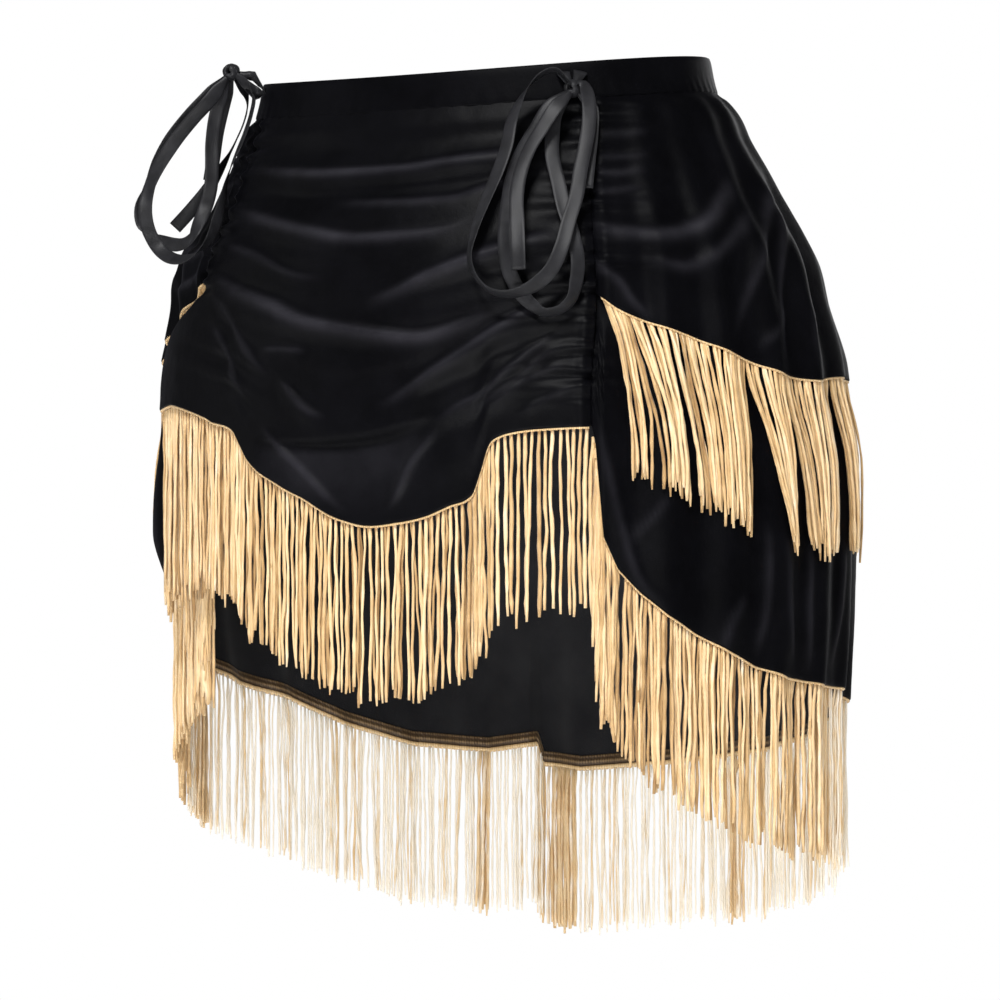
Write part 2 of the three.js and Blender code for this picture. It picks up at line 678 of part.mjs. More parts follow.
const ROUTES = {
  left_strand_1: [[43, -14.5, 1.2, 0], [43, -15.5, 4, 0], [43.3, -18, 7.5, 0]],
  left_strand_2: [[47.5, -14, 1.2, 0], [47, -15.5, 4, 0], [46, -18, 7.5, 0]],
  left_loop_1: [
    [42.5, -19, 16, 60], [40, -17.5, 17, 70], [37, -20, 17, 70], [34, -25, 15.5, 60],
    [31.5, -31.5, 13.5, 45], [29, -42, 12, 25], [27.5, -56, 11, 15], [25.5, -70.5, 10.5, 15],
    [23, -89.5, 10, 25], [21.5, -105.5, 10, 40], [21, -117.5, 10, 60], [22, -128, 10, 80],
    [24, -135, 11, 90], [26.5, -137.5, 12.5, 90], [29, -136.5, 13, 80], [31.5, -132.5, 13, 50],
    [34, -125, 13, 20], [36, -112.5, 13.5, 5], [37.5, -99, 14, 0], [39.5, -84, 14, 0],
    [41, -69, 14, 0], [42.5, -55, 14, 0], [44, -41.5, 14, 0], [44.5, -31.5, 14, 0],
  ],
  left_loop_2: [
    [41, -27.5, 12, 0], [37.5, -34.5, 10.5, 5], [33.5, -46.5, 9, 10], [30, -59.5, 8, 10],
    [28, -72.5, 7.5, 10], [27, -88.5, 7, 10], [26.5, -107, 7, 15], [27, -123, 6, 15],
    [28.5, -134.5, 5.5, 10], [30.5, -142.5, 6.5, 50], [32.5, -147, 7.5, 85], [35, -145.5, 7.5, 80],
    [37, -140, 7.5, 60], [38, -131, 7.5, 30], [38.5, -119.5, 8, 15], [38, -105, 8, 5],
    [37, -90.5, 8, 0], [36.5, -76.5, 8, 0], [36, -62, 8, 5], [37, -47.5, 8.5, 5],
    [38.5, -37.5, 10, 5], [41.5, -30.5, 12, 5],
  ],
  left_tail_1: [
    [42, -28, 17.5, 0], [38.5, -36, 17, 0], [35, -47, 16, 5], [32, -58, 14.5, 10],
    [30, -70, 14, 5], [29, -84, 13.5, 0], [29, -99, 13.5, 0], [29, -113, 13, 5], [29, -124.5, 12.5, 10],
  ],
  left_tail_2: [
    [46, -27, 10.5, 10], [46.5, -35, 8.5, 20], [45, -48.5, 7.5, 20], [43, -64, 7, 15], [41.5, -79.5, 7, 10],
  ],
  right_strand_1: [[-50, -12.5, 1.2, 0], [-50, -10.5, 4, 0], [-50.5, -4, 10, 0], [-51, -2, 14, 0]],
  right_strand_2: [[-54.5, -14, 1.2, 0], [-54.5, -12.5, 5, 0], [-54, -7.5, 12, 0]],
  right_loop_1: [
    [-52, -6, 24.5, 90], [-53, -15, 32, 90], [-54, -25.5, 39, 90], [-55, -38.5, 44, 85],
    [-56, -51.5, 45, 60], [-56, -65, 44.5, 15], [-56, -76, 43, 60], [-56, -85.5, 36.5, 85],
    [-55, -92.5, 27.5, 60], [-53, -96.5, 18.5, 30], [-50, -98, 11, 15], [-47, -94, 9, 20],
    [-48, -86, 9, 50], [-50, -75, 9, 80], [-50, -63.5, 11.5, 90], [-50, -52.5, 16.5, 90],
    [-50, -41.5, 22, 90], [-51, -30, 25, 90], [-51, -19, 26, 90], [-52, -9.5, 23.5, 90],
  ],
  right_loop_2: [
    [-49, -5.5, 18, 20], [-48, -10.5, 13.5, 10], [-48, -16, 9, 0], [-47.5, -25.5, 8, 0],
    [-46.5, -35, 8, 0], [-46, -44, 8, 0], [-45, -53, 8, 10], [-43, -63.5, 8, 30],
    [-40, -75.5, 8.5, 60], [-37, -88.5, 9, 80], [-35.5, -99, 10, 60], [-37, -105.5, 11.5, 30],
    [-40, -108.5, 14.5, 15], [-44, -106.5, 19, 20], [-47, -100, 26, 40], [-48, -90, 36, 60],
    [-49, -78, 43.5, 60], [-50, -66, 45.5, 40], [-50, -53.5, 45.5, 60], [-50, -41.5, 43.5, 90],
    [-50, -29, 38.5, 90], [-50, -19, 32.5, 90], [-50.5, -9, 27, 90],
  ],
  right_tail_1: [
    [-55, -6.5, 15.5, 30], [-56, -11.5, 10.5, 10], [-57, -19, 7.5, 0], [-57, -28, 6.5, 0],
    [-58, -37, 6.5, 0], [-58, -45.5, 7, 10], [-58, -55, 7.5, 40], [-57.5, -66, 9.5, 70],
    [-57.5, -77, 13.5, 85], [-57.5, -87, 17, 90],
  ],
  right_tail_2: [
    [-56, -8.5, 19.5, 80], [-57.5, -19.5, 21, 80], [-58.5, -33.5, 19, 80], [-59, -47.5, 14.5, 80],
    [-59, -60, 10, 80],
  ],
};
const KNOT_REACH = KNOT_RADIUS + KNOT_GAP;
const PINCHED_WIDTH = 3.6;
const PINCH_LENGTH = 14;

// The flat section, as shares of half the width and half the thickness
const SECTION = [[1, 0], [0.9, 1], [0, 1], [-0.9, 1], [-1, 0], [-0.9, -1], [0, -1], [0.9, -1]];

// Moves the end of a route along its own line to just outside the knot
function meetKnot(points, end, next, knot) {
  const direction = points[end].clone().sub(knot).normalize();
  points[end].copy(knot).addScaledVector(direction, KNOT_REACH);
  if (points[end].distanceTo(points[next]) < 2) points.splice(next, 1);
}

function ribbon(name, route, knot) {
  const points = route.map(([around, height, out]) => place(around, height, out));
  const turns = route.map((row) => row[3]);
  const isStrand = name.includes('strand');
  if (isStrand || name.includes('loop')) meetKnot(points, points.length - 1, points.length - 2, knot);
  if (!isStrand) meetKnot(points, 0, 1, knot);
  const path = new THREE.CatmullRomCurve3(points, false, 'centripetal');
  const length = path.getLength();
  const steps = Math.max(3, Math.round(length / RIBBON_STEP));
  const corners = [];
  const triangles = [];
  for (let i = 0; i <= steps; i += 1) {
    const u = i / steps;
    const centre = path.getPointAt(u);
    const along = path.getTangentAt(u);
    const slot = path.getUtoTmapping(u, 0) * (turns.length - 1);
    const low = Math.min(Math.floor(slot), turns.length - 2);
    const turn = (turns[low] + (turns[low + 1] - turns[low]) * (slot - low)) * RADIANS;
    const away = new THREE.Vector3(centre.x / 2, centre.y, 0).normalize();
    const facing = away.add(new THREE.Vector3(0, 0, 0.5));
    facing.addScaledVector(along, -facing.dot(along)).normalize();
    const aside = along.clone().cross(facing);
    const flat = facing.clone().multiplyScalar(Math.cos(turn)).addScaledVector(aside, Math.sin(turn));
    const across = along.clone().cross(flat);
    const fromStart = u * length;
    const fromEnd = name.includes('tail') ? Infinity : (1 - u) * length;
    const opened = ease(0, PINCH_LENGTH, Math.min(fromStart, fromEnd));
    const width = PINCHED_WIDTH + (RIBBON_WIDTH - PINCHED_WIDTH) * opened;
    for (const [a, b] of SECTION) {
      corners.push(centre.clone().addScaledVector(across, a * width / 2).addScaledVector(flat, b * RIBBON_THICK / 2));
    }
  }
  const sides = SECTION.length;
  for (let i = 0; i < steps; i += 1) {
    for (let s = 0; s < sides; s += 1) {
      const after = (s + 1) % sides;
      const base = i * sides;
      quad(triangles, base + s, base + sides + s, base + sides + after, base + after);
    }
  }
  const end = steps * sides;
  for (let s = 1; s < sides - 1; s += 1) {
    triangles.push([0, s, s + 1]);
    triangles.push([end, end + s + 1, end + s]);
  }
  return solid(`ribbon_${name}`, corners, triangles, SATIN);
}

function bowKnot(name, centre) {
  const profile = [[0, -1], [0.62, -0.78], [1, -0.2], [0.9, 0.45], [0.5, 0.85], [0, 1]];
  const points = profile.map(([r, z]) => new THREE.Vector2(r * KNOT_RADIUS, z * KNOT_RADIUS));
  const lathe = new THREE.LatheGeometry(points, 9);
  lathe.rotateX(Math.PI / 2);
  const knot = new THREE.Mesh(lathe, new THREE.MeshStandardMaterial(SATIN));
  knot.name = name;
  knot.position.copy(centre);
  return knot;
}

const skirt = new THREE.Group();
skirt.add(waistband());
skirt.add(wall('front_panel', frontColumns, false, VELVET));
skirt.add(wall('upper_tier', upperColumns, false, VELVET));
skirt.add(wall('lower_tier', lowerColumns, false, VELVET));

const inFringe = (_, i) => lowerShares[i] >= LOWER_FRINGE_FROM && lowerShares[i] <= LOWER_FRINGE_TO;
skirt.add(fringe('fringe_front', frontColumns, 2, hangFree));
skirt.add(fringe('fringe_upper', upperColumns, 1, hangOver));
skirt.add(fringe('fringe_lower', lowerColumns.filter(inFringe), 1, hangFree));

for (const [side, spot] of Object.entries(KNOTS)) {
  const centre = place(spot.around, spot.height, spot.out);
  skirt.add(bowKnot(`knot_${side}`, centre));
  for (const [name, route] of Object.entries(ROUTES)) {
    if (name.startsWith(side)) skirt.add(ribbon(name, route, centre));
  }
}

export default skirt;
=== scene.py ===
"""Burlesque bustle skirt: velvet panels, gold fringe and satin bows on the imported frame.

Lengths in the tables are millimetres, as in part.mjs, and become metres when a mesh is made. A place
on the skirt is (around, height, out): around in degrees from the centre front towards the wearer's
left, height above the waist, and out, the distance outside the figure's surface.
"""

import math

import bpy
import numpy as np
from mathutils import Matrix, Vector, noise


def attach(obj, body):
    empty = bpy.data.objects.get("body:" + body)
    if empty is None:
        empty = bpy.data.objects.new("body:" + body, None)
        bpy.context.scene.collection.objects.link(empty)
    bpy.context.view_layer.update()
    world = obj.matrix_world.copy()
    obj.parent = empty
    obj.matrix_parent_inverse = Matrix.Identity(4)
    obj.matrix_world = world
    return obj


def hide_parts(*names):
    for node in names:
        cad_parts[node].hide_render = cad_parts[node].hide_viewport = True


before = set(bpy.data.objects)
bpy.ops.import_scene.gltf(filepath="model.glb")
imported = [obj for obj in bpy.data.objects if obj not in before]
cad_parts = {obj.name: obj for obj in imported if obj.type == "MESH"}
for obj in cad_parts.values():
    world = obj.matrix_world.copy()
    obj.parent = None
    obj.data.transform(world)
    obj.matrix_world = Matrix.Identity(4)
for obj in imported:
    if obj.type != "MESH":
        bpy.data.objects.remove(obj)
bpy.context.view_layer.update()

MM = 0.001

# Driving dimensions, as in part.mjs, except that SEAM is closed up and that FLAP and the hems of the
# two tiers follow the cloth a few millimetres closer
SEAM = 0.02
BAND_HEIGHT = 19.0
FRINGE_DROP = 92.0
HEADER_HEIGHT = 8.0
HEADER_GAP = 0.6
KNOT_RADIUS = 5.5
PUCKERS = 16
PUCKER_DEPTH = 2.2
PUCKER_REACH = 16.0

# The cloth and the ribbons, finer than their solids
CLOTH = 1.3
RIBBON_WIDTH = 7.8
RIBBON_THICK = 0.5

LEVELS = [  # height, half width, half depth, centre y
    (20, 133, 99, 3), (0, 133.5, 99, 4), (-18, 137, 101, 6), (-40, 149.5, 111, 12),
    (-60, 161.5, 120, 14), (-75, 169, 126, 15), (-110, 188.5, 141, 14), (-135, 194.5, 146, 15),
    (-170, 203.5, 152, 18), (-240, 208.5, 156, 18), (-300, 207.5, 155, 18), (-345, 204.5, 153, 18),
    (-390, 201.5, 151, 18), (-500, 196, 147, 18),
]
LEFT_LINE = [  # height, around
    (0, 51), (-16, 49.3), (-58, 44), (-97, 42), (-136, 41.3), (-172, 39.3), (-206, 38.9), (-420, 38.9),
]
RIGHT_LINE = [  # height, around
    (0, 51), (-16, 49.3), (-58, 44), (-97, 40.5), (-122, 38.6), (-140, 36), (-172, 32), (-206, 29),
    (-246, 28), (-290, 29), (-340, 35), (-420, 38.9),
]
FLAP = [  # height, degrees past the right line that the front panel's free edge reaches
    (0, 0), (-120, 0), (-123.5, 0.1), (-130, 3.5), (-133, 5.6), (-141.5, 13.8), (-149, 19.4),
    (-160, 23.6), (-175, 24.6), (-190, 24.8), (-206, 26), (-246, 27), (-420, 27),
]
FLAP_LIFT = 1.6
FLAP_FREE = 6.0
UNDER_FLAP = {"depth": 13, "from": -118, "to": -135, "near": 57.5, "far": 68}
SEAM_LEVEL = -30.0
HEM_END = {1: -206.0, -1: -190.0}
TIER_ROW = {1: 29, -1: 27}
FRONT_HEM = [  # across, height
    (-1, -190), (-0.9, -188.2), (-0.82, -187.8), (-0.68, -192.2), (-0.58, -196.8), (-0.545, -199.2),
    (-0.473, -201.8), (-0.433, -205.3), (-0.4, -212.6), (-0.369, -219.9), (-0.322, -227.1),
    (-0.269, -232.2), (-0.209, -237.8), (-0.151, -242.3), (-0.039, -253), (0.08, -257.5),
    (0.22, -256), (0.33, -253), (0.43, -247.5), (0.52, -242), (0.555, -229.5), (0.585, -216),
    (0.62, -211.5), (0.7, -208.5),
    (0.82, -207), (1, -206),
]
UPPER_HEM = [  # share, height
    (0.029, -144), (0.065, -150), (0.127, -158), (0.19, -167), (0.269, -176), (0.342, -178.5),
    (0.42, -175.5), (0.5, -175), (0.6, -178), (1, -190), (1.4, -184), (1.6, -176), (1.74, -164),
    (1.87, -146), (1.908, -137.5), (1.957, -129.5), (1.97, -127),
]
LOWER_HEM = [  # share, height
    (0.004, -214), (0.0085, -240), (0.013, -264), (0.03, -281), (0.056, -293), (0.09, -305),
    (0.13, -315), (0.173, -324), (0.221, -332), (0.277, -338), (0.36, -342), (0.46, -345),
    (0.58, -357), (0.68, -372), (0.8, -383), (0.95, -391), (1.06, -395.5), (1.1111, -393),
    (1.1165, -381), (1.18, -385), (1.277, -381.5), (1.37, -369), (1.45, -353.5), (1.53, -345),
    (1.586, -336), (1.65, -325.5), (1.72, -307), (1.76, -297), (1.785, -287), (1.83, -276), (1.91, -263),
    (1.95, -258), (1.97, -255), (1.987, -245), (1.9915, -230), (1.996, -206),
]
TIER_FOLDS = 24
UPPER_FOLD_DEPTH = 3.0
LOWER_FOLD_DEPTH = 2.6
ROLL_DEPTH = 3.5
ROLL_BELOW_SEAM = 11.0
ROLL_HALF_HEIGHT = 11.0
TUCK = 14.0
TUCK_OUT = -4.4
TUCK_FADE = 52.0
LAP_SHARE = 1.1111
LAP_STEP = 0.0139
LAP_FADE = (0.02, 0.16)
LAP_DEPTH = 6.0
FRONT_SAG = 52
DRAWN_IN = 12.0


def ease(start, end, value):
    t = np.clip((value - start) / (end - start), 0.0, 1.0)
    return t * t * (3 - 2 * t)


def smooth_curve(rows, column=1):
    """A smooth curve through a table's rows, as in part.mjs."""
    table = np.array(sorted(rows), float)
    keys, values = table[:, 0], table[:, column]
    before = np.maximum(np.arange(len(keys)) - 1, 0)
    after = np.minimum(np.arange(len(keys)) + 1, len(keys) - 1)
    slopes = (values[after] - values[before]) / (keys[after] - keys[before])

    def at(key):
        key = np.asarray(key, float)
        i = np.clip(np.searchsorted(keys, key) - 1, 0, len(keys) - 2)
        span = keys[i + 1] - keys[i]
        u = np.clip((key - keys[i]) / span, 0.0, 1.0)
        rise = u * u * (3 - 2 * u)
        start = u * (1 - u) ** 2 * span * slopes[i]
        end = u * u * (1 - u) * span * slopes[i + 1]
        return values[i] * (1 - rise) + values[i + 1] * rise + start - end
    return at


half_width = smooth_curve(LEVELS, 1)
half_depth = smooth_curve(LEVELS, 2)
centre_y = smooth_curve(LEVELS, 3)
left_line = smooth_curve(LEFT_LINE)
right_line = smooth_curve(RIGHT_LINE)
flap_past = smooth_curve(FLAP)


def line_around(left_side, height):
    """How far round from the centre front the ruching line of a side lies."""
    return np.where(left_side, left_line(height), right_line(height))


def outward(around, height):
    t = np.radians(around)
    x, y = np.sin(t) / half_width(height), -np.cos(t) / half_depth(height)
    length = np.hypot(x, y)
    return np.stack([x / length, y / length, np.zeros_like(x / length)], -1)


def place(around, height, out):
    around, height, out = np.broadcast_arrays(*(np.asarray(v, float) for v in (around, height, out)))
    t = np.radians(around)
    x, y = half_width(height) * np.sin(t), centre_y(height) - half_depth(height) * np.cos(t)
    return np.stack([x, y, height], -1) + outward(around, height) * out[..., None]


def degrees_for(distance, around, height):
    t = np.radians(around)
    radius = np.hypot(half_width(height) * np.cos(t), half_depth(height) * np.sin(t))
    return distance / (radius * math.pi / 180)


def waist_top(around):
    c = np.cos(np.radians(around))
    return -1.5 - 9 * c - 3.5 * c * c


def waist_seam(around):
    return waist_top(around) - BAND_HEIGHT


SEAM_TOP = float(waist_seam(left_line(SEAM_LEVEL)) - SEAM)


def pucker(distance, height, sign, end):
    """Gathers beside a ruching line: the part's even ones, with smaller uneven ones on top."""
    share = (height - SEAM_TOP) / (HEM_END[sign] - SEAM_TOP)
    wave = np.sin(2 * math.pi * PUCKERS * share)
    uneven = 0.45 * np.sin(2 * math.pi * 27.3 * share + 2.1 * sign) * np.exp(-distance / 7)
    slow = 0.8 + 0.35 * np.sin(2 * math.pi * 3.7 * share + sign)
    flat = ease(end + HEADER_HEIGHT, end + 2 * HEADER_HEIGHT, height)
    return PUCKER_DEPTH * (wave * slow + uneven) * flat * np.exp(-distance / PUCKER_REACH)


def channel(distance):
    """The narrow dip where a ruching line is stitched, between two soft lips."""
    return 0.9 * np.exp(-((distance - 5.5) / 2.5) ** 2) - 1.3 * np.exp(-(distance / 2.4) ** 2)


def unevenness(points, scale, depth):
    """Slow, seeded hollows and swells, so that no stretch of cloth is quite regular."""
    flat = points.reshape(-1, 3)
    values = np.array([noise.noise(Vector(p) / scale) for p in flat.tolist()])
    return depth * values.reshape(points.shape[:-1])


# Creases, listed one by one. A depth above 0 is a ridge and below 0 a trough; above and below are how far it
# spreads to its upper or right side and to its lower or left side.
FRONT_CREASES = [  # depth, above, below, (around, height) along it
    (3, 2.2, 7.2, [(-37, -57), (-28, -60), (-20, -62), (-11, -64), (5, -64), (15, -61), (25, -58),
        (37, -55)]),
    (2.3, 2.2, 6.3, [(-8, -82), (6, -83), (16, -82), (23, -76), (31, -70), (37, -66)]),
    (3.4, 2.6, 9, [(-37, -81), (-33, -82), (-26, -86), (-11, -96), (-2, -101), (8, -101), (15, -99),
        (22, -93)]),
    (1.4, 1.9, 5.4, [(-36, -99), (-28, -104), (-21, -110), (-13, -120), (-6, -124)]),
    (3.4, 3, 9.9, [(2, -138), (8, -131), (12, -125), (16, -120), (21, -114), (27, -108), (36, -101)]),
    (3.9, 2.6, 10.8, [(-35, -116), (-28, -124), (-22, -130), (-16, -136), (-10, -144), (-2, -150),
        (5, -154), (12, -156), (19, -150), (26, -142)]),
    (1.4, 1.9, 4.5, [(-19, -160), (-13, -161), (-8, -163)]),
    (1.8, 1.9, 5.4, [(-14, -178), (-12, -182), (-10, -188), (-7, -195), (-4, -199)]),
    (1.4, 1.9, 5.4, [(-35, -125), (-29, -137), (-24, -153), (-19, -167), (-16, -176)]),
    (1.4, 1.9, 5.4, [(-34, -142), (-27, -158), (-24, -175), (-21, -186)]),
    (2.5, 2.2, 8.1, [(5, -193), (7, -190), (10, -184), (13, -177), (18, -166), (23, -155), (28, -146),
        (36, -135)]),
    (1.4, 1.9, 5.4, [(13, -204), (15, -201), (18, -194), (22, -187), (25, -177), (29, -166), (36, -152)]),
    (0.9, 1.7, 4.5, [(19, -200), (24, -188), (28, -178), (32, -167), (37, -160)]),
    (0.9, 1.7, 4.5, [(22, -197), (28, -182), (32, -176), (37, -170)]),
    (0.8, 1.7, 4.5, [(27, -200), (31, -192), (37, -184)]),
    (2.1, 2.2, 5.4, [(-17, -202), (-15, -208), (-12, -218), (-8, -228), (-4, -240), (0, -250)]),
    (-4.4, 3, 26, [(-19, -210), (-12, -213), (-4, -214), (4, -212), (10, -207), (15, -201)]),
    (1.8, 3, 3.6, [(15, -208), (11, -225), (9, -240), (7, -252)]),
    (-1, 3.8, 4.5, [(-30, -70), (-18, -76), (-6, -74), (10, -73), (24, -68)]),
    (-1.1, 4.5, 5.4, [(-28, -102), (-14, -114), (0, -120), (12, -113), (24, -103)]),
    (-1.2, 5.2, 6.3, [(-26, -148), (-14, -166), (-2, -176), (8, -174), (18, -163), (26, -150)]),
]
UPPER_CREASES = [  # depth, above, below, (around, height) along it
    (1.2, 2.5, 5, [(45, -47), (52, -47), (60, -45)]),
    (1, 2.2, 4, [(44, -60), (50, -60), (58, -58)]),
    (1.3, 2.5, 5, [(43, -68), (49, -69), (56, -66)]),
    (1.2, 2.2, 4, [(42, -79), (47, -79), (54, -76)]),
    (3.4, 3.5, 10, [(40, -97), (46, -100), (51, -101), (56, -101), (60, -99), (66, -92), (72, -81),
        (78, -68)]),
    (2, 3, 7, [(40, -115), (42, -120), (46, -129), (48, -139), (51, -149)]),
    (1.8, 3.5, 8, [(50, -114), (53, -117), (59, -119), (65, -112), (72, -100), (80, -83)]),
    (2.2, 3.5, 7, [(99, -50), (98, -60), (95, -71), (88, -86), (82, -102), (76, -121), (72, -138),
        (66, -160)]),
    (2, 3, 6, [(99, -64), (96, -77), (92, -88), (87, -106), (84, -121), (81, -142), (77, -170)]),
    (2, 3, 6, [(97, -80), (95, -94), (94, -107), (93, -122), (92, -138), (89, -155), (88, -175)]),
    (1.2, 2.5, 5, [(71, -165), (73, -159), (77, -151), (82, -138)]),
    # the other side, which the photograph doesn't show, gathers in the same way
    (1.2, 2.5, 5, [(302, -46), (308, -48), (315, -47)]),
    (1.2, 2.5, 5, [(304, -62), (310, -64), (316, -62)]),
    (3, 3.5, 10, [(284, -66), (292, -82), (299, -95), (306, -101), (312, -100), (319, -92)]),
    (1.8, 3, 7, [(297, -108), (303, -119), (309, -122), (315, -117), (319, -110)]),
    (2.2, 3, 7, [(262, -48), (266, -76), (271, -104), (276, -134), (280, -166)]),
    (2, 3, 6, [(275, -60), (279, -92), (286, -122), (292, -150)]),
    (2, 4, 7, [(130, -45), (128, -80), (131, -118), (129, -172)]),
    (2.4, 5, 7, [(158, -48), (156, -90), (160, -130), (161, -180)]),
    (2.2, 4, 8, [(189, -46), (192, -86), (188, -132), (190, -182)]),
    (2.2, 4, 7, [(222, -48), (219, -92), (224, -136), (226, -180)]),
    (1.8, 4, 6, [(243, -44), (246, -84), (244, -130), (250, -174)]),
]
LOWER_CREASES = [  # depth, above, below, (around, height) along it
    (1.8, 3, 6, [(40, -200), (42, -230), (44, -258), (47, -286), (52, -302)]),
    (1.3, 3, 6, [(44, -268), (49, -251), (52, -240)]),
    (1.6, 3, 7, [(61, -328), (63, -308), (67, -292)]),
    (1.8, 3, 6, [(72, -255), (72, -298), (70, -330)]),
    (1.8, 3, 5, [(76, -262), (77, -303), (80, -336)]),
    (2, 3, 6, [(84, -262), (84, -303), (85, -338)]),
    (2, 3, 6, [(98, -262), (97, -303), (94, -338)]),
    (2, 5, 7, [(120, -240), (121, -290), (117, -352)]),
    (2.2, 5, 8, [(146, -244), (144, -310), (148, -372)]),
    (2.2, 5, 8, [(176, -246), (178, -312), (174, -386)]),
    (2.2, 5, 8, [(214, -246), (212, -312), (216, -374)]),
    (2, 5, 7, [(243, -240), (246, -300), (243, -350)]),
    (2, 4, 6, [(268, -244), (266, -290), (270, -330)]),
    (1.8, 4, 6, [(290, -236), (291, -276), (287, -318)]),
    (2.6, 5, 5, [(294.5, -196), (294.5, -240), (295.5, -288)]),
    (1.6, 3, 6, [(318, -200), (316, -240), (312, -284)]),
]
CREASE_STEP = 4.0
CREASE_REACH = 40.0
CREASE_ENDS = 0.3


def crease_line(line):
    """Points along a crease with their directions, the surface's own sideways and the whole length."""
    stops = np.array(line, float)
    t = np.arange(len(stops))
    fine = np.linspace(0, len(stops) - 1, 12 * len(stops))
    around = smooth_curve(list(zip(t, stops[:, 0])))(fine)
    height = smooth_curve(list(zip(t, stops[:, 1])))(fine)
    points = place(around, height, 0)
    run = np.concatenate([[0], np.cumsum(np.linalg.norm(np.diff(points, axis=0), axis=1))])
    even = np.linspace(0, run[-1], max(3, int(run[-1] / CREASE_STEP)))
    points = np.stack([np.interp(even, run, points[:, k]) for k in range(3)], -1)
    around, height = np.interp(even, run, around), np.interp(even, run, height)
    along = np.gradient(points, axis=0)
    along /= np.linalg.norm(along, axis=1, keepdims=True)
    side = np.cross(outward(around, height), along)
    return points, along, side, even, run[-1]


def creases(base, table):
    """How far the cloth stands out at each point of base because of a table of creases."""
    flat = base.reshape(-1, 3)
    total = np.zeros(len(flat))
    for depth, above, below, line in table:
        points, along, side, at, length = crease_line(line)
        low, high = points.min(0) - CREASE_REACH, points.max(0) + CREASE_REACH
        near = np.flatnonzero(np.all((flat > low) & (flat < high), axis=1))
        if not len(near):
            continue
        away = flat[near][:, None, :] - points[None]
        nearest = np.argmin((away ** 2).sum(-1), axis=1)
        offset = away[np.arange(len(near)), nearest]
        position = (at[nearest] + (offset * along[nearest]).sum(-1)) / length
        aside = (offset * side[nearest]).sum(-1) + 0.6 * above
        width = np.where(aside > 0, above, below)
        fade = ease(-0.04, CREASE_ENDS, position) * ease(-0.04, CREASE_ENDS, 1 - position)
        total[near] += depth * np.exp(-(aside / width) ** 2) * fade
    return total.reshape(base.shape[:-1])


# Painted sheen: the pile's colour is made lighter along the ridges of the creases, and over this patch
# above the front's hem, as a painted highlight where light catches the pile
PAINTED_SHEEN_PATCHES = [  # depth, above, below, (around, height) along it
    (1.5, 3, 24, [(-19, -215), (-12, -218), (-4, -219), (4, -217), (10, -212), (14, -207)]),
]
# How narrow the painted sheen is beside a ridge, and how deep a ridge must be for full sheen
CREST_DEPTH = 3.4
CREST_ABOVE = 0.75
CREST_BELOW = 0.42


def painted_crest_sheen(around, height, table, patches=()):
    """How much painted sheen lightens the pile, in narrow streaks along a table's ridges and over wider
    patches.
    """
    ridges = [(depth, CREST_ABOVE * above, CREST_BELOW * below, line)
              for depth, above, below, line in table if depth > 0]
    base = place(around, height, 0)
    return sum(np.clip(creases(base, rows) / CREST_DEPTH, 0, 1) for rows in (ridges, patches))


# Where the panels lie
def edge_past(across, height):
    return np.where(across > 0, 0.0, np.maximum(flap_past(height), 0.0))


front_hem = smooth_curve(FRONT_HEM)


def front_place(across, at):
    side_end = (HEM_END[1] + HEM_END[-1] + across * (HEM_END[1] - HEM_END[-1])) / 2
    top = waist_seam(across * left_line(SEAM_LEVEL)) - SEAM
    calm = side_end - FRONT_SAG * (1 - across ** 2)
    end = calm + (front_hem(across) - calm) * ease(0.45, 1, at)
    height = top + (end - top) * at
    line = line_around(across > 0, height)
    return across * (line - degrees_for(SEAM / 2, line, height) + edge_past(across, height)), height


def front_out(across, at, around, height):
    past = edge_past(across, height)
    edge = line_around(across > 0, height) + past
    distance = (1 - np.abs(across)) * edge / degrees_for(1.0, around, height)
    middle = 1 - np.exp(-distance / PUCKER_REACH)
    free = ease(0, FLAP_FREE, past)
    lifted = free * ease(0.5, 0.8, -across)
    fade = ease(0, 0.06, at) * (1 - 0.8 * ease(0.7, 0.97, at)) * (1 - 0.7 * lifted)
    swag = 1.0 * middle * np.sin(2 * math.pi * 8 * at + 0.8 * across) * fade
    left, right = (pucker(distance, height, sign, HEM_END[sign]) for sign in (1, -1))
    gathers = np.where(across > 0, left, right)
    gathers = (gathers + channel(distance)) * (1 - free)
    rolled = -1.2 * free * np.exp(-(distance / 3.0) ** 2)
    base = place(around, height, 0)
    made = creases(base, FRONT_CREASES) * ease(0, 0.03, at) * (1 - 0.7 * ease(0.93, 1, at))
    fine = unevenness(base, 26, 0.45) + unevenness(base, 8, 0.12)
    return gathers + rolled + swag + FLAP_LIFT * lifted + made + fine


def tier_around(share, height):
    line = line_around(share <= 1, height)
    line = line + degrees_for(SEAM / 2, line, height)
    near = line + np.minimum(share, 2 - share) * (180 - line)
    return np.where(share <= 1, near, 360 - near)


def tier_distance(share, height):
    around = tier_around(share, height)
    reduced = np.minimum(around, 360 - around) - line_around(share <= 1, height)
    return np.maximum(reduced, 0) / degrees_for(1.0, around, height)


def under_flap(share, height):
    flap = UNDER_FLAP
    aside = 1 - ease(flap["near"], flap["far"], 360 - tier_around(share, height))
    return np.where(share <= 1, 0.0, ease(flap["from"], flap["to"], height) * aside)


def tier_end(sign):
    return SEAM_TOP + (HEM_END[sign] - SEAM_TOP) * TIER_ROW[sign] / (3 * PUCKERS)


upper_hem = smooth_curve([(0, tier_end(1)), *UPPER_HEM, (2, tier_end(-1))])
lower_rows = np.array([(0, HEM_END[1]), *LOWER_HEM, (2, HEM_END[-1])], float)


def lower_hem(share):
    return np.interp(share, lower_rows[:, 0], lower_rows[:, 1])


def tier_pucker(share, height, distance, ends):
    left, right = pucker(distance, height, 1, ends[0]), pucker(distance, height, -1, ends[1])
    return np.where(share <= 1, left, right)


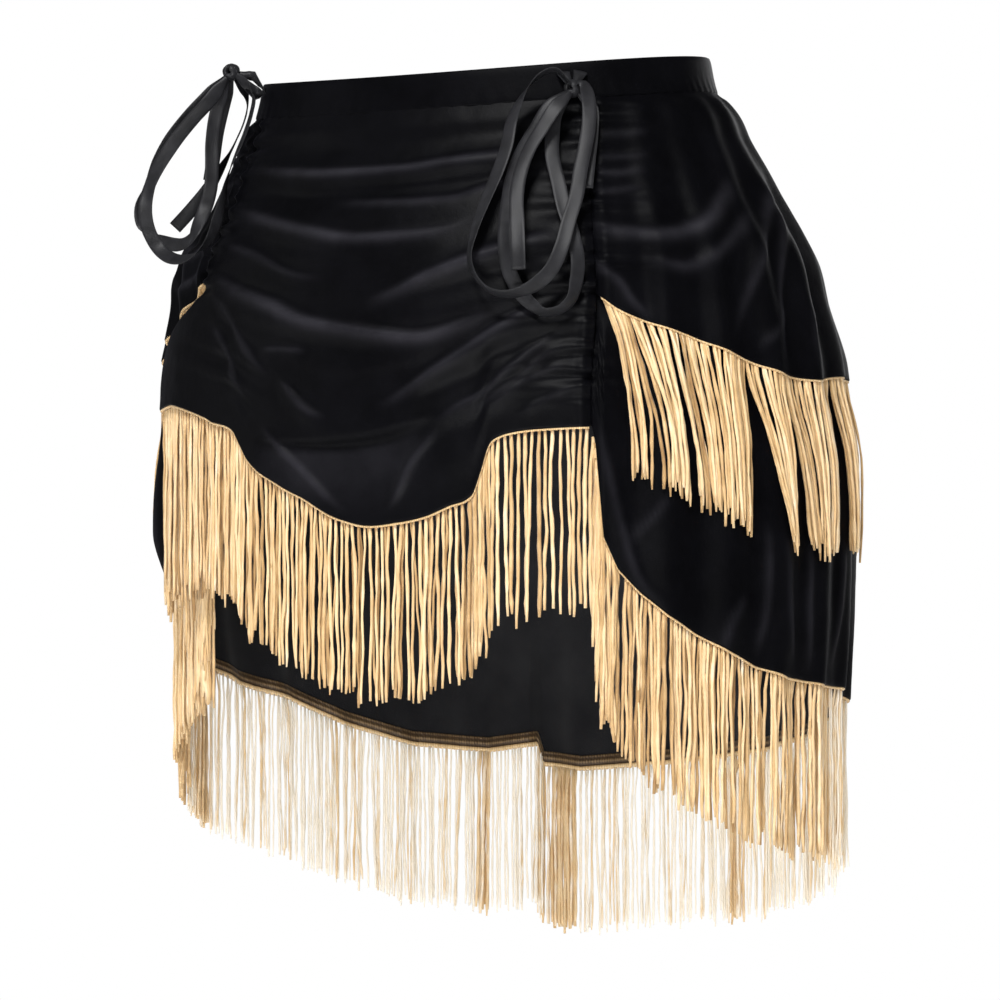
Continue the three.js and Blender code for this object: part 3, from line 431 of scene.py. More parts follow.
def upper_base_out(share, height):
    around = tier_around(share, height)
    distance = tier_distance(share, height)
    middle = 1 - np.exp(-distance / PUCKER_REACH)
    below = waist_seam(around) - height
    roll = ROLL_DEPTH * np.exp(-((below - ROLL_BELOW_SEAM) / ROLL_HALF_HEIGHT) ** 2)
    fold = np.sin(math.pi * TIER_FOLDS * share + 1.3 * np.sin(7 * share))
    grow = 0.35 + 0.65 * ease(10, 120, below)
    gathers = tier_pucker(share, height, distance, (tier_end(1), tier_end(-1)))
    return gathers + ease(0, 5, below) * middle * (roll + UPPER_FOLD_DEPTH * grow * fold * 0.8)


def upper_out(share, height):
    around = tier_around(share, height)
    base = place(around, height, 0)
    below = waist_seam(around) - height
    small = 0.35 * np.sin(math.pi * 47 * share + 2.2 * np.sin(9 * share)) * ease(20, 90, below)
    made = (creases(base, UPPER_CREASES) + small) * ease(2, 10, below)
    fine = unevenness(base, 30, 0.4) + unevenness(base, 8, 0.08)
    return upper_base_out(share, height) + made + fine + channel(tier_distance(share, height))


def lap(share):
    past = share - LAP_SHARE
    return ease(0, LAP_STEP, past) * (1 - ease(*LAP_FADE, past))


def lower_base_out(share, height):
    distance = tier_distance(share, height)
    middle = 1 - np.exp(-distance / PUCKER_REACH)
    below = upper_hem(share) - height
    tucked = 1 - ease(4, TUCK_FADE, below)
    fold = np.sin(math.pi * TIER_FOLDS * share + 1.1 * np.sin(5 * share + 1))
    gathers = ease(6, 18, below) * tier_pucker(share, height, distance, (HEM_END[1], HEM_END[-1]))
    own = gathers + LOWER_FOLD_DEPTH * middle * fold * 0.8
    lapped = -LAP_DEPTH * lap(share) * ease(-300, -360, height)
    return tucked * (upper_base_out(share, height) + TUCK_OUT) + (1 - tucked) * own + lapped


def lower_out(share, height):
    around = tier_around(share, height)
    base = place(around, height, 0)
    below = upper_hem(share) - height
    small = 0.6 * np.sin(math.pi * 43 * share + 1.7 * np.sin(8 * share + 2)) * ease(-300, -340, height)
    made = (creases(base, LOWER_CREASES) + small) * ease(40, 80, below)
    fine = (unevenness(base, 32, 0.5) + unevenness(base, 8, 0.12)) * ease(10, 40, below)
    near_line = channel(tier_distance(share, height)) * ease(8, 20, below)
    drawn_in = DRAWN_IN * ease(-256, -315, height) * ease(1.64, 1.73, share) * (1 - ease(1.83, 1.9, share))
    free = lower_base_out(share, height) + made + fine + near_line - drawn_in
    under = under_flap(share, height)
    return free * (1 - under) + (0.25 * (made + fine) - UNDER_FLAP["depth"]) * under


# Materials
def material(name):
    made = bpy.data.materials.new(name)
    made.use_nodes = True
    made.node_tree.nodes.clear()
    return made


class Nodes:
    """Adds shader nodes to a material and links them by name."""

    def __init__(self, owner):
        self.tree = owner.node_tree

    def add(self, kind, settings=(), **inputs):
        node = self.tree.nodes.new(kind)
        for key, value in dict(settings).items():
            setattr(node, key, value)
        for key, value in inputs.items():
            socket = node.inputs[key.replace("_", " ")]
            if isinstance(value, bpy.types.NodeSocket):
                self.tree.links.new(value, socket)
            else:
                socket.default_value = value
        return node

    def ramp(self, factor, stops):
        node = self.tree.nodes.new("ShaderNodeValToRGB")
        self.tree.links.new(factor, node.inputs["Fac"])
        while len(node.color_ramp.elements) < len(stops):
            node.color_ramp.elements.new(0.5)
        for element, (position, colour) in zip(node.color_ramp.elements, stops):
            element.position = position
            element.color = (*colour, 1)
        return node.outputs["Color"]

    def finish(self, shader):
        out = self.tree.nodes.new("ShaderNodeOutputMaterial")
        self.tree.links.new(shader, out.inputs["Surface"])


VELVET_SHADES = [(0.35, (0.0008, 0.0008, 0.0012)), (0.7, (0.0018, 0.0018, 0.0026))]
# The lighter grey of the painted sheen along the ridges of the creases
PAINTED_SHEEN_COLOUR = (0.0155, 0.015, 0.0185, 1)


def velvet_material(name, roughness, specular):
    """Short pile: almost black, with soft brushed patches, a fine nap, a dull sheen and painted ridge sheen.
    """
    made = material(name)
    n = Nodes(made)
    place_at = n.add("ShaderNodeTexCoord").outputs["Object"]
    brushed = n.add("ShaderNodeTexNoise", Vector=place_at, Scale=26.0, Detail=5.0, Roughness=0.6)
    colour = n.ramp(brushed.outputs["Fac"], VELVET_SHADES)
    pile = n.add("ShaderNodeTexNoise", Vector=place_at, Scale=2600.0, Detail=2.0)
    nap = n.add("ShaderNodeTexNoise", Vector=place_at, Scale=180.0, Detail=4.0, Roughness=0.7)
    fine = n.add("ShaderNodeBump", Strength=0.25, Distance=0.0003, Height=pile.outputs["Fac"])
    soft = n.add("ShaderNodeBump", Strength=0.3, Distance=0.0006, Height=nap.outputs["Fac"],
                 Normal=fine.outputs["Normal"])
    # Painted sheen: the colour is mixed towards that lighter grey where the mesh's sheen value is high, more
    # in some brushed patches than in others
    crest_sheen = n.add("ShaderNodeAttribute", {"attribute_name": "crest_sheen"}).outputs["Fac"]
    patchy = n.add("ShaderNodeMapRange", Value=brushed.outputs["Fac"], From_Min=0.3, From_Max=0.7,
                   To_Min=0.45, To_Max=1.15).outputs["Result"]
    sheen_mask = n.add("ShaderNodeMath", {"operation": "MULTIPLY"})
    n.tree.links.new(crest_sheen, sheen_mask.inputs[0])
    n.tree.links.new(patchy, sheen_mask.inputs[1])
    colour = n.add("ShaderNodeMixRGB", Fac=sheen_mask.outputs["Value"], Color1=colour,
                   Color2=PAINTED_SHEEN_COLOUR).outputs["Color"]
    rough = n.add("ShaderNodeMapRange", Value=brushed.outputs["Fac"], To_Min=roughness,
                  To_Max=roughness + 0.08)
    shader = n.add("ShaderNodeBsdfPrincipled", Base_Color=colour, Roughness=rough.outputs["Result"],
                   Normal=soft.outputs["Normal"], Sheen_Weight=0.035, Sheen_Roughness=0.3,
                   Sheen_Tint=(0.3, 0.3, 0.38, 1), Specular_IOR_Level=specular)
    n.finish(shader.outputs["BSDF"])
    return made


def knit_material():
    """The velvet's matt back, a fine knit."""
    made = material("velvet_back")
    n = Nodes(made)
    place_at = n.add("ShaderNodeTexCoord").outputs["Object"]
    patches = n.add("ShaderNodeTexNoise", Vector=place_at, Scale=40.0, Detail=3.0)
    colour = n.ramp(patches.outputs["Fac"], [(0.3, (0.006, 0.006, 0.007)), (0.75, (0.012, 0.012, 0.013))])
    loops = n.add("ShaderNodeTexVoronoi", Vector=place_at, Scale=1300.0)
    bump = n.add("ShaderNodeBump", Strength=0.4, Distance=0.0003, Height=loops.outputs["Distance"])
    shader = n.add("ShaderNodeBsdfPrincipled", Base_Color=colour, Roughness=0.9, Specular_IOR_Level=0.08,
                   Normal=bump.outputs["Normal"], Sheen_Weight=0.1, Sheen_Roughness=0.5)
    n.finish(shader.outputs["BSDF"])
    return made


def strand_material(name, shades):
    """Twisted rayon: each strand has its own tint, which also carries painted shade and painted backlight,
    with fine diagonal twists along it.
    """
    made = material(name)
    n = Nodes(made)
    place_at = n.add("ShaderNodeTexCoord").outputs["Object"]
    tint = n.add("ShaderNodeAttribute", {"attribute_name": "tint"}).outputs["Fac"]
    cloudy = n.add("ShaderNodeTexNoise", Vector=place_at, Scale=90.0, Detail=2.0)
    mixed = n.add("ShaderNodeMath", {"operation": "MULTIPLY_ADD"})
    n.tree.links.new(cloudy.outputs["Fac"], mixed.inputs[0])
    mixed.inputs[1].default_value = 0.35
    n.tree.links.new(tint, mixed.inputs[2])
    colour = n.ramp(mixed.outputs["Value"], shades)
    twist = n.add("ShaderNodeTexWave", {"wave_type": "BANDS", "bands_direction": "DIAGONAL"},
                  Vector=place_at, Scale=190.0, Distortion=1.5, Detail=1.0)
    bump = n.add("ShaderNodeBump", Strength=0.35, Distance=0.0004, Height=twist.outputs["Fac"])
    shader = n.add("ShaderNodeBsdfPrincipled", Base_Color=colour, Roughness=0.5,
                   Normal=bump.outputs["Normal"], Sheen_Weight=0.25, Sheen_Roughness=0.4,
                   Specular_IOR_Level=0.35)
    through = n.add("ShaderNodeBsdfTranslucent", Color=colour)
    both = n.add("ShaderNodeMixShader", Fac=0.3)
    n.tree.links.new(shader.outputs["BSDF"], both.inputs[1])
    n.tree.links.new(through.outputs["BSDF"], both.inputs[2])
    n.finish(both.outputs["Shader"])
    return made


def satin_material():
    """Black satin ribbon, with its fine weft across it."""
    made = material("satin")
    n = Nodes(made)
    uv = n.add("ShaderNodeUVMap", {"uv_map": "ribbon"}).outputs["UV"]
    weft = n.add("ShaderNodeTexWave", {"wave_type": "BANDS", "bands_direction": "X"}, Vector=uv, Scale=900.0,
                 Distortion=0.6, Detail=1.0)
    place_at = n.add("ShaderNodeTexCoord").outputs["Object"]
    cloudy = n.add("ShaderNodeTexNoise", Vector=place_at, Scale=120.0, Detail=3.0)
    colour = n.ramp(cloudy.outputs["Fac"], [(0.3, (0.008, 0.008, 0.009)), (0.7, (0.014, 0.014, 0.016))])
    rough = n.add("ShaderNodeMapRange", Value=cloudy.outputs["Fac"], To_Min=0.38, To_Max=0.48)
    bump = n.add("ShaderNodeBump", Strength=0.12, Distance=0.0002, Height=weft.outputs["Fac"])
    shader = n.add("ShaderNodeBsdfPrincipled", Base_Color=colour, Roughness=rough.outputs["Result"],
                   Normal=bump.outputs["Normal"], Specular_IOR_Level=0.16)
    n.finish(shader.outputs["BSDF"])
    return made


velvet = velvet_material("velvet", 0.4, 0.05)
velvet_down = velvet_material("velvet_nap_down", 0.44, 0.032)
velvet_back = knit_material()
# The gold's shades: the darkest stops are reached by the painted shade of strands behind, the cream top by
# the painted backlight of the back fringe
GOLD_SHADES = [
    (0.0, (0.3, 0.16, 0.06)), (0.25, (0.5, 0.31, 0.13)), (0.5, (0.72, 0.5, 0.25)), (0.75, (0.86, 0.67, 0.4)),
    (1.0, (0.96, 0.9, 0.79)),
]
# The header tape's shades, through which the painted light on its ribs and painted shade in its grooves run
TAPE_SHADES = [(0.0, (0.025, 0.013, 0.006)), (0.5, (0.085, 0.05, 0.022)), (1.0, (0.34, 0.22, 0.1))]
gold = strand_material("gold_strands", GOLD_SHADES)
tape_brown = strand_material("header_tape", TAPE_SHADES)
satin = satin_material()


# Meshes
def mesh_object(name, points, faces, slots, uses=None):
    """An object from points in millimetres. uses gives each face's slot, if there is more than one."""
    mesh = bpy.data.meshes.new(name)
    mesh.from_pydata((np.asarray(points).reshape(-1, 3) * MM).tolist(), [], faces)
    for slot in slots:
        mesh.materials.append(slot)
    if uses is not None:
        mesh.polygons.foreach_set("material_index", np.asarray(uses, dtype=np.int32))
    mesh.polygons.foreach_set("use_smooth", np.ones(len(mesh.polygons), dtype=bool))
    made = bpy.data.objects.new(name, mesh)
    bpy.context.scene.collection.objects.link(made)
    return made


def point_values(piece, name, values):
    """A number for each point of a piece, which its material reads by name."""
    attribute = piece.data.attributes.new(name, "FLOAT", "POINT")
    attribute.data.foreach_set("value", values.reshape(-1).astype(np.float32))


def ribbon_uv(piece, uv):
    layer = piece.data.uv_layers.new(name="ribbon")
    corners = np.zeros(len(piece.data.loops), dtype=np.int32)
    piece.data.loops.foreach_get("vertex_index", corners)
    layer.data.foreach_set("uv", uv[corners].reshape(-1))


def ring_faces(rings, size, closed=False):
    """The quads between neighbours in a row of rings of points."""
    i, k = np.arange(rings if closed else rings - 1)[:, None], np.arange(size)[None]
    j, m = (i + 1) % rings, (k + 1) % size
    return np.stack([i * size + k, i * size + m, j * size + m, j * size + k], -1).reshape(-1, 4)


def finish_piece(piece, slot, *nodes):
    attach(piece, "root")
    if nodes:
        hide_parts(*nodes)
    return piece


RIM = [(0.15, 0.35), (0.5, 0.5), (0.85, 0.35)]


def shell(name, around, height, out, thick, closed, slots, crest_sheen=None):
    """Cloth with two faces and rounded hems, from columns (first axis) and rows (second axis)."""
    outer, inner = place(around, height, out), place(around, height, out - thick)
    up = np.array([0, 0, 1.0])

    def rim(row, sign):
        a, b = outer[:, row], inner[:, row]
        return [a + (b - a) * share + sign * drop * thick * up for share, drop in RIM]
    bottom, top = rim(-1, -1), rim(0, 1)
    ring = np.stack([*np.moveaxis(outer, 1, 0), *bottom, *np.moveaxis(inner[:, ::-1], 1, 0), *top[::-1]], 1)
    columns, size = ring.shape[:2]
    rows = outer.shape[1]
    faces = ring_faces(columns, size, closed).tolist()
    k = np.arange(size)
    is_inner = (k >= rows + len(RIM)) & (k < size - len(RIM) - 1)
    uses = np.tile(is_inner, len(faces) // size).astype(np.int32)
    if not closed:
        ends = []
        for start, flip in ((0, False), ((columns - 1) * size, True)):
            last = start + size - len(RIM) - 1
            for r in range(rows - 1):
                quad = [start + r, last - r, last - 1 - r, start + r + 1]
                ends.append(quad[::-1] if flip else quad)
        faces += ends
        uses = np.concatenate([uses, np.zeros(len(ends), np.int32)])
    piece = mesh_object(name, ring, faces, slots, uses)
    # The outer face carries the painted sheen value that the velvet's colour reads
    if crest_sheen is not None:
        sheen_mask = np.zeros((columns, size))
        sheen_mask[:, :rows] = crest_sheen
        point_values(piece, "crest_sheen", sheen_mask)
    return piece


# Camera and the scene's light, then the cords
CAMERA_AZIMUTH = 31.0
CAMERA_ELEVATION = -1.5
CAMERA_DISTANCE = 2.6
VIEW_WIDTH = 0.56
LOOK = Vector((0.0, 0.012, -0.241))
LOOK_SHIFT = 0.0045
SENSOR = 36


def add_camera():
    a, e = math.radians(CAMERA_AZIMUTH), math.radians(CAMERA_ELEVATION)
    back = Vector((math.sin(a) * math.cos(e), -math.cos(a) * math.cos(e), math.sin(e)))
    right = Vector((math.cos(a), math.sin(a), 0))
    data = bpy.data.cameras.new("camera")
    data.sensor_width = SENSOR
    data.lens = SENSOR * CAMERA_DISTANCE / VIEW_WIDTH
    camera = bpy.data.objects.new("camera", data)
    camera.location = LOOK + LOOK_SHIFT * right + back * CAMERA_DISTANCE
    camera.rotation_euler = back.to_track_quat("Z", "Y").to_euler()
    bpy.context.scene.collection.objects.link(camera)
    bpy.context.scene.camera = camera


LIGHTS = [  # name, place, size, power, aimed at
    ("key", (0.5, -1.5, 1.75), (0.7, 0.4), 70, LOOK),
    ("front", (1.6, -2.5, 0.9), (1.2, 1.0), 4, LOOK),
    ("left", (-1.9, -1.0, 0.3), (0.5, 1.4), 5, LOOK),
    ("right", (2.2, 0.4, 0.7), (0.6, 1.2), 3, LOOK),
    ("back", (0.0, 2.2, 0.2), (1.4, 1.0), 9, LOOK),
    ("low", (0.5, -1.5, -0.68), (0.7, 0.2), 15, Vector((0.0, 0.17, -0.43))),
]


def add_light(name, position, size, power, target):
    data = bpy.data.lights.new(name, "AREA")
    data.shape = "RECTANGLE"
    data.size, data.size_y = size
    data.energy = power
    light = bpy.data.objects.new(name, data)
    light.location = position
    light.rotation_euler = (Vector(position) - target).to_track_quat("Z", "Y").to_euler()
    bpy.context.scene.collection.objects.link(light)


add_camera()
for light in LIGHTS:
    add_light(*light)

# A white room: how bright it is to the camera, in mirror reflections and to everything else
SEEN, MIRRORED, LIT = 1.0, 0.1, 0.6
world = bpy.data.worlds.new("studio")
world.use_nodes = True
bpy.context.scene.world = world
world_nodes, world_links = world.node_tree.nodes, world.node_tree.links
world_nodes.clear()
ray = world_nodes.new("ShaderNodeLightPath")


def room(strength):
    node = world_nodes.new("ShaderNodeBackground")
    node.inputs["Strength"].default_value = strength
    node.inputs["Color"].default_value = (1, 1, 1, 1)
    return node.outputs[0]


def choice(question, otherwise, answer):
    node = world_nodes.new("ShaderNodeMixShader")
    for socket, source in zip(node.inputs, (ray.outputs[question], otherwise, answer)):
        world_links.new(source, socket)
    return node.outputs[0]


unseen = choice("Is Glossy Ray", room(LIT), room(MIRRORED))
world_out = world_nodes.new("ShaderNodeOutputWorld")
world_links.new(choice("Is Camera Ray", unseen, room(SEEN)), world_out.inputs["Surface"])
bpy.context.scene.view_settings.view_transform = "Standard"


# Bows. Every ribbon starts at a knot; rows are (around, height, out, turn), and a ribbon turned 0
# shows its flat side outwards, and one turned 90 stands on its edge.
KNOTS = {"left": (44, -24.5, 9), "right": (-52, -2, 20.5)}
ROUTES = {
    "left_strand_1": [(43, -14.5, 1.2, 0), (43, -15.5, 4, 0), (43.3, -18, 7.5, 0)],
    "left_strand_2": [(47.5, -14, 1.2, 0), (47, -15.5, 4, 0), (46, -18, 7.5, 0)],
    "left_loop_1": [
        (43.5, -17.5, 15.5, 70), (40.5, -15.5, 17, 78), (37, -18.5, 17, 78), (34, -24.5, 15.5, 65),
        (31.5, -31.5, 13.5, 45), (29, -42, 12, 25), (27.5, -56, 11, 15), (25.5, -70.5, 10.5, 15),
        (23, -89.5, 10, 25), (21.5, -105.5, 10, 40), (21, -117.5, 10, 60), (22, -128, 10, 80),
        (24, -135, 11, 90), (26.5, -137.5, 12.5, 90), (29, -136.5, 13, 80), (31.5, -132.5, 13, 50),
        (34, -125, 13, 20), (36, -112.5, 13.5, 5), (37.5, -99, 14, 0), (39.5, -84, 14, 0),
        (41, -69, 14, 0), (43, -55, 14, 0), (45, -41.5, 14, 0), (46.3, -30, 14.5, 5), (46.2, -21.5, 15.5, 20),
        (45, -17, 15.5, 50)],
    "left_loop_2": [
        (41, -27.5, 12, 0), (37.5, -34.5, 10.5, 5), (33.5, -46.5, 9, 10), (30, -59.5, 8, 10),
        (28, -72.5, 7.5, 10), (27, -88.5, 7, 10), (26.5, -107, 7, 15), (27, -123, 6, 15),
        (28.5, -134.5, 5.5, 10), (30.5, -142.5, 6.5, 50), (32.5, -147, 7.5, 85), (35, -145.5, 7.5, 80),
        (37, -140, 7.5, 60), (38, -131, 7.5, 30), (38.5, -119.5, 8, 15), (38, -105, 8, 5),
        (37, -90.5, 8, 0), (36.5, -76.5, 8, 0), (36, -62, 8, 5), (37, -47.5, 8.5, 5),
        (38.5, -37.5, 10, 5), (41.5, -30.5, 12, 5)],
    "left_tail_1": [
        (42, -28, 17.5, 0), (38.5, -36, 17, 0), (35, -47, 16, 5), (32, -58, 14.5, 10),
        (30, -70, 14, 5), (29, -84, 13.5, 0), (29, -99, 13.5, 0), (29, -113, 13, 5), (29, -124.5, 12.5, 10)],
    "left_tail_2": [
        (46, -27, 10.5, 10), (46.5, -35, 8.5, 20), (45, -48.5, 7.5, 20), (43, -64, 7, 15),
        (41.5, -79.5, 7, 10)],
    "right_strand_1": [(-50, -12.5, 1.2, 0), (-50, -10.5, 4, 0), (-50.5, -4, 10, 0), (-51, -2, 14, 0)],
    "right_strand_2": [(-54.5, -14, 1.2, 0), (-54.5, -12.5, 5, 0), (-54, -7.5, 12, 0)],
    "right_loop_1": [
        (-52, -6, 24.5, 90), (-53, -15, 32, 90), (-54, -25.5, 39, 90), (-55, -38.5, 44, 85),
        (-56, -51.5, 45, 60), (-56, -65, 44.5, 15), (-56, -76, 43, 60), (-56, -85.5, 36.5, 85),
        (-55, -92.5, 27.5, 60), (-53, -96.5, 18.5, 30), (-50, -98, 11, 15), (-47, -94, 9, 20),
        (-48, -86, 9, 50), (-50, -75, 9, 80), (-50, -63.5, 11.5, 90), (-50, -52.5, 16.5, 90),
        (-50, -41.5, 22, 90), (-51, -30, 25, 90), (-51, -19, 26, 90), (-52, -9.5, 23.5, 90)],
    "right_loop_2": [
        (-49, -5.5, 18, 20), (-48, -10.5, 13.5, 10), (-48, -16, 9, 0), (-47.5, -25.5, 8, 0),
        (-46.5, -35, 8, 0), (-46, -44, 8, 0), (-45, -53, 8, 10), (-43, -63.5, 8, 30),
        (-40, -75.5, 8.5, 60), (-37, -88.5, 9, 80), (-35.5, -99, 10, 60), (-37, -105.5, 11.5, 30),
        (-40, -108.5, 14.5, 15), (-44, -106.5, 19, 20), (-47, -100, 26, 40), (-48, -90, 36, 60),
        (-49, -78, 43.5, 60), (-50, -66, 45.5, 40), (-50, -53.5, 45.5, 60), (-50, -41.5, 43.5, 90),
        (-50, -29, 38.5, 90), (-50, -19, 32.5, 90), (-50.5, -9, 27, 90)],
    "right_tail_1": [
        (-55, -6.5, 15.5, 30), (-56, -11.5, 10.5, 10), (-57, -19, 7.5, 0), (-57, -28, 6.5, 0),
        (-58, -37, 6.5, 0), (-58, -45.5, 7, 10), (-58, -55, 7.5, 40), (-57.5, -66, 9.5, 70),
        (-57.5, -77, 13.5, 85), (-57.5, -87, 17, 90)],
    "right_tail_2": [
        (-56, -8.5, 19.5, 80), (-57.5, -19.5, 21, 80), (-58.5, -33.5, 19, 80), (-59, -47.5, 14.5, 80),
        (-59, -60, 10, 80)],
}
PINCHED_WIDTH = 3.6
PINCH_LENGTH = 14.0
RIBBON_STEP = 2.2
RIBBON_PROFILE = [-1, -0.94, -0.6, -0.2, 0.2, 0.6, 0.94, 1]


def spline(points, step):
    """Even points along a centripetal Catmull-Rom curve, with the place of each in the list."""
    points = np.asarray(points, float)
    ends = np.concatenate([[2 * points[0] - points[1]], points, [2 * points[-1] - points[-2]]])
    out, slots = [], []
    for i in range(1, len(ends) - 2):
        p0, p1, p2, p3 = ends[i - 1:i + 3]
        d = [max(np.linalg.norm(b - a) ** 0.5, 1e-4) for a, b in ((p0, p1), (p1, p2), (p2, p3))]
        m1 = ((p1 - p0) / d[0] - (p2 - p0) / (d[0] + d[1]) + (p2 - p1) / d[1]) * d[1]
        m2 = ((p2 - p1) / d[1] - (p3 - p1) / (d[1] + d[2]) + (p3 - p2) / d[2]) * d[1]
        u = np.linspace(0, 1, 12, endpoint=False)[:, None]
        out.append((2 * u ** 3 - 3 * u ** 2 + 1) * p1 + (u ** 3 - 2 * u ** 2 + u) * m1
                   + (3 * u ** 2 - 2 * u ** 3) * p2 + (u ** 3 - u ** 2) * m2)
        slots.append(i - 1 + u[:, 0])
    line = np.concatenate([*out, points[-1:]])
    slots = np.concatenate([*slots, [len(points) - 1]])
    run = np.concatenate([[0], np.cumsum(np.linalg.norm(np.diff(line, axis=0), axis=1))])
    even = np.linspace(0, run[-1], max(4, int(round(run[-1] / step)) + 1))
    line = np.stack([np.interp(even, run, line[:, k]) for k in range(3)], -1)
    return line, np.interp(even, run, slots), even


def unit(vectors):
    return vectors / np.linalg.norm(vectors, axis=-1, keepdims=True)


def ribbon(name, route, knot):
    rows = np.array(route, float)
    points = place(rows[:, 0], rows[:, 1], rows[:, 2])
    kind = name.split("_")[1]
    inside = KNOT_RADIUS * 0.45
    if kind != "tail":
        points[-1] = knot + inside * unit(points[-1] - knot)
    if kind != "strand":
        points[0] = knot + inside * unit(points[0] - knot)
    line, slots, at = spline(points, RIBBON_STEP)
    turn = np.radians(np.interp(slots, np.arange(len(rows)), rows[:, 3]))
    along = unit(np.gradient(line, axis=0))
    away = unit(np.stack([line[:, 0] / 2, line[:, 1], np.zeros(len(line))], -1))
    facing = away + [0, 0, 0.5]
    facing = unit(facing - along * (facing * along).sum(-1, keepdims=True))
    aside = np.cross(along, facing)
    flat = facing * np.cos(turn)[:, None] + aside * np.sin(turn)[:, None]
    across = np.cross(along, flat)
    near_knot = at[-1] - at if kind == "strand" else np.minimum(at, at[-1] - at) if kind == "loop" else at
    opened = ease(0, PINCH_LENGTH, near_knot)
    width = PINCHED_WIDTH + (RIBBON_WIDTH - PINCHED_WIDTH) * opened
    cup = 0.5 * np.sin(at / 17.0 + len(name)) * opened + 1.4 * (1 - opened)
    rings = []
    profile = np.array(RIBBON_PROFILE)
    for sign, shares in ((1, profile), (-1, profile[::-1])):
        lift = sign * RIBBON_THICK / 2 * (1 - 0.8 * (np.abs(shares) == 1))
        bend = cup[:, None] * (0.35 - shares ** 2)[None]
        rings.append(line[:, None] + across[:, None] * (shares[None] * width[:, None] / 2)[..., None]
                     + flat[:, None] * (lift[None] + bend)[..., None])
    ring = np.concatenate(rings, 1)
    steps, size = ring.shape[:2]
    half = len(profile)
    caps = []
    for start, flip in ((0, True), ((steps - 1) * size, False)):
        for s in range(half - 1):
            quad = [start + s, start + s + 1, start + size - 2 - s, start + size - 1 - s]
            caps.append(quad[::-1] if flip else quad)
    piece = mesh_object(f"bow_{name}", ring, ring_faces(steps, size).tolist() + caps, [satin])
    shares = np.concatenate([profile, profile[::-1]])
    ribbon_uv(piece, np.stack([np.repeat(at, size), np.tile(shares, steps) * RIBBON_WIDTH / 2], -1) * MM)
    finish_piece(piece, "ribbon", f"ribbon_{name}")
    return piece, line, float(at[-1])


WINDINGS = 2.6
WOUND_LENGTH = 60.0


def bow_knot(side, knot):
    """A lump of ribbon wound round itself, with its folds."""
    turns, sides = 96, 10
    u = np.linspace(0, 1, turns)
    angle = 2 * math.pi * WINDINGS * u
    tilt = 0.9 * math.pi * u
    base = unit(np.stack([np.cos(angle), 0.55 * np.sin(tilt * 2.3), np.sin(angle)], -1))
    core = base * np.array([1.0, 0.85, 1.0]) * (KNOT_RADIUS * (0.52 + 0.13 * u))[:, None]
    along = unit(np.gradient(core, axis=0))
    normal = unit(core - along * (core * along).sum(-1, keepdims=True))
    across = np.cross(along, normal)
    theta = np.linspace(0, 2 * math.pi, sides, endpoint=False)
    width = 3.1 + 0.5 * np.sin(3 * angle)
    ring = (core[:, None] + across[:, None] * (np.cos(theta)[None] * width[:, None])[..., None]
            + normal[:, None] * (np.sin(theta)[None, :, None] * 1.5))
    ends = [list(range(sides))[::-1], [(turns - 1) * sides + s for s in range(sides)]]
    faces = ring_faces(turns, sides).tolist() + ends
    piece = mesh_object(f"bow_{side}_knot", ring + knot, faces, [satin])
    ribbon_uv(piece, np.stack([np.repeat(u * WOUND_LENGTH, sides), np.tile(theta, turns)], -1) * MM)
    return finish_piece(piece, "ribbon", f"knot_{side}")


for side, spot in KNOTS.items():
    knot_at = place(*spot)
    made = {name: ribbon(name, route, knot_at) for name, route in ROUTES.items() if name.startswith(side)}
    small = [bow_knot(side, knot_at)] + [made[f"{side}_strand_{k}"][0] for k in (1, 2)]
    for name, (piece, line, length) in made.items():
        kind = name.split("_")[1]
        if kind == "strand":
            continue


# Velvet panels
BAND_THICK = 2.0


def make_waistband():
    around = np.linspace(0, 360, 300, endpoint=False)[:, None]
    at = np.array([0.02, 0.08, 0.2, 0.35, 0.5, 0.65, 0.8, 0.92, 0.98])[None]
    height = waist_top(around) - BAND_HEIGHT * at
    gathers = 0.25 * np.sin(np.radians(around) * 88 + 3 * np.sin(np.radians(around) * 5)) * ease(0.4, 1, at)
    crown = 0.4 * np.sin(math.pi * at)
    out = gathers + crown - 0.4 * (0.5 * ease(0.9, 1, at) + 1 - ease(0, 0.12, at))
    piece = shell("velvet_waistband", np.broadcast_to(around, height.shape), height, out, BAND_THICK, True,
                  [velvet_down, velvet_back])
    finish_piece(piece, "velvet", "waistband")


FRONT_STEPS = (230, 150)
TIER_STEPS = (440, 84)


def make_front():
    across = np.linspace(-1, 1, FRONT_STEPS[0])[:, None]
    at = np.linspace(0, 1, FRONT_STEPS[1])[None]
    around, height = front_place(across, at)
    out = front_out(across, at, around, height) - 0.5 * (1 - ease(0, 0.02, at))
    # The painted sheen along the creases' ridges and over the patch above the hem
    crest_sheen = painted_crest_sheen(around, height, FRONT_CREASES, PAINTED_SHEEN_PATCHES)
    return shell("velvet_front", around, height, out, CLOTH, False, [velvet, velvet_back], crest_sheen)


def make_tier(name, share, top, bottom, out_at, dipped, table):
    at = np.linspace(0, 1, TIER_STEPS[1])[None]
    height = top + (bottom - top) * at
    around = tier_around(share, height)
    out = out_at(share, height) - dipped * (1 - ease(0, 0.02, at))
    # The painted sheen along the creases' ridges
    crest_sheen = painted_crest_sheen(around, height, table)
    return shell(name, around, height, out, CLOTH, False, [velvet_down, velvet_back], crest_sheen)


def make_upper():
    share = np.linspace(0, 2, TIER_STEPS[0])[:, None]
    top = waist_seam(tier_around(share, -25.0)) - SEAM
    return make_tier("velvet_upper_tier", share, top, upper_hem(share), upper_out, 0.5, UPPER_CREASES)


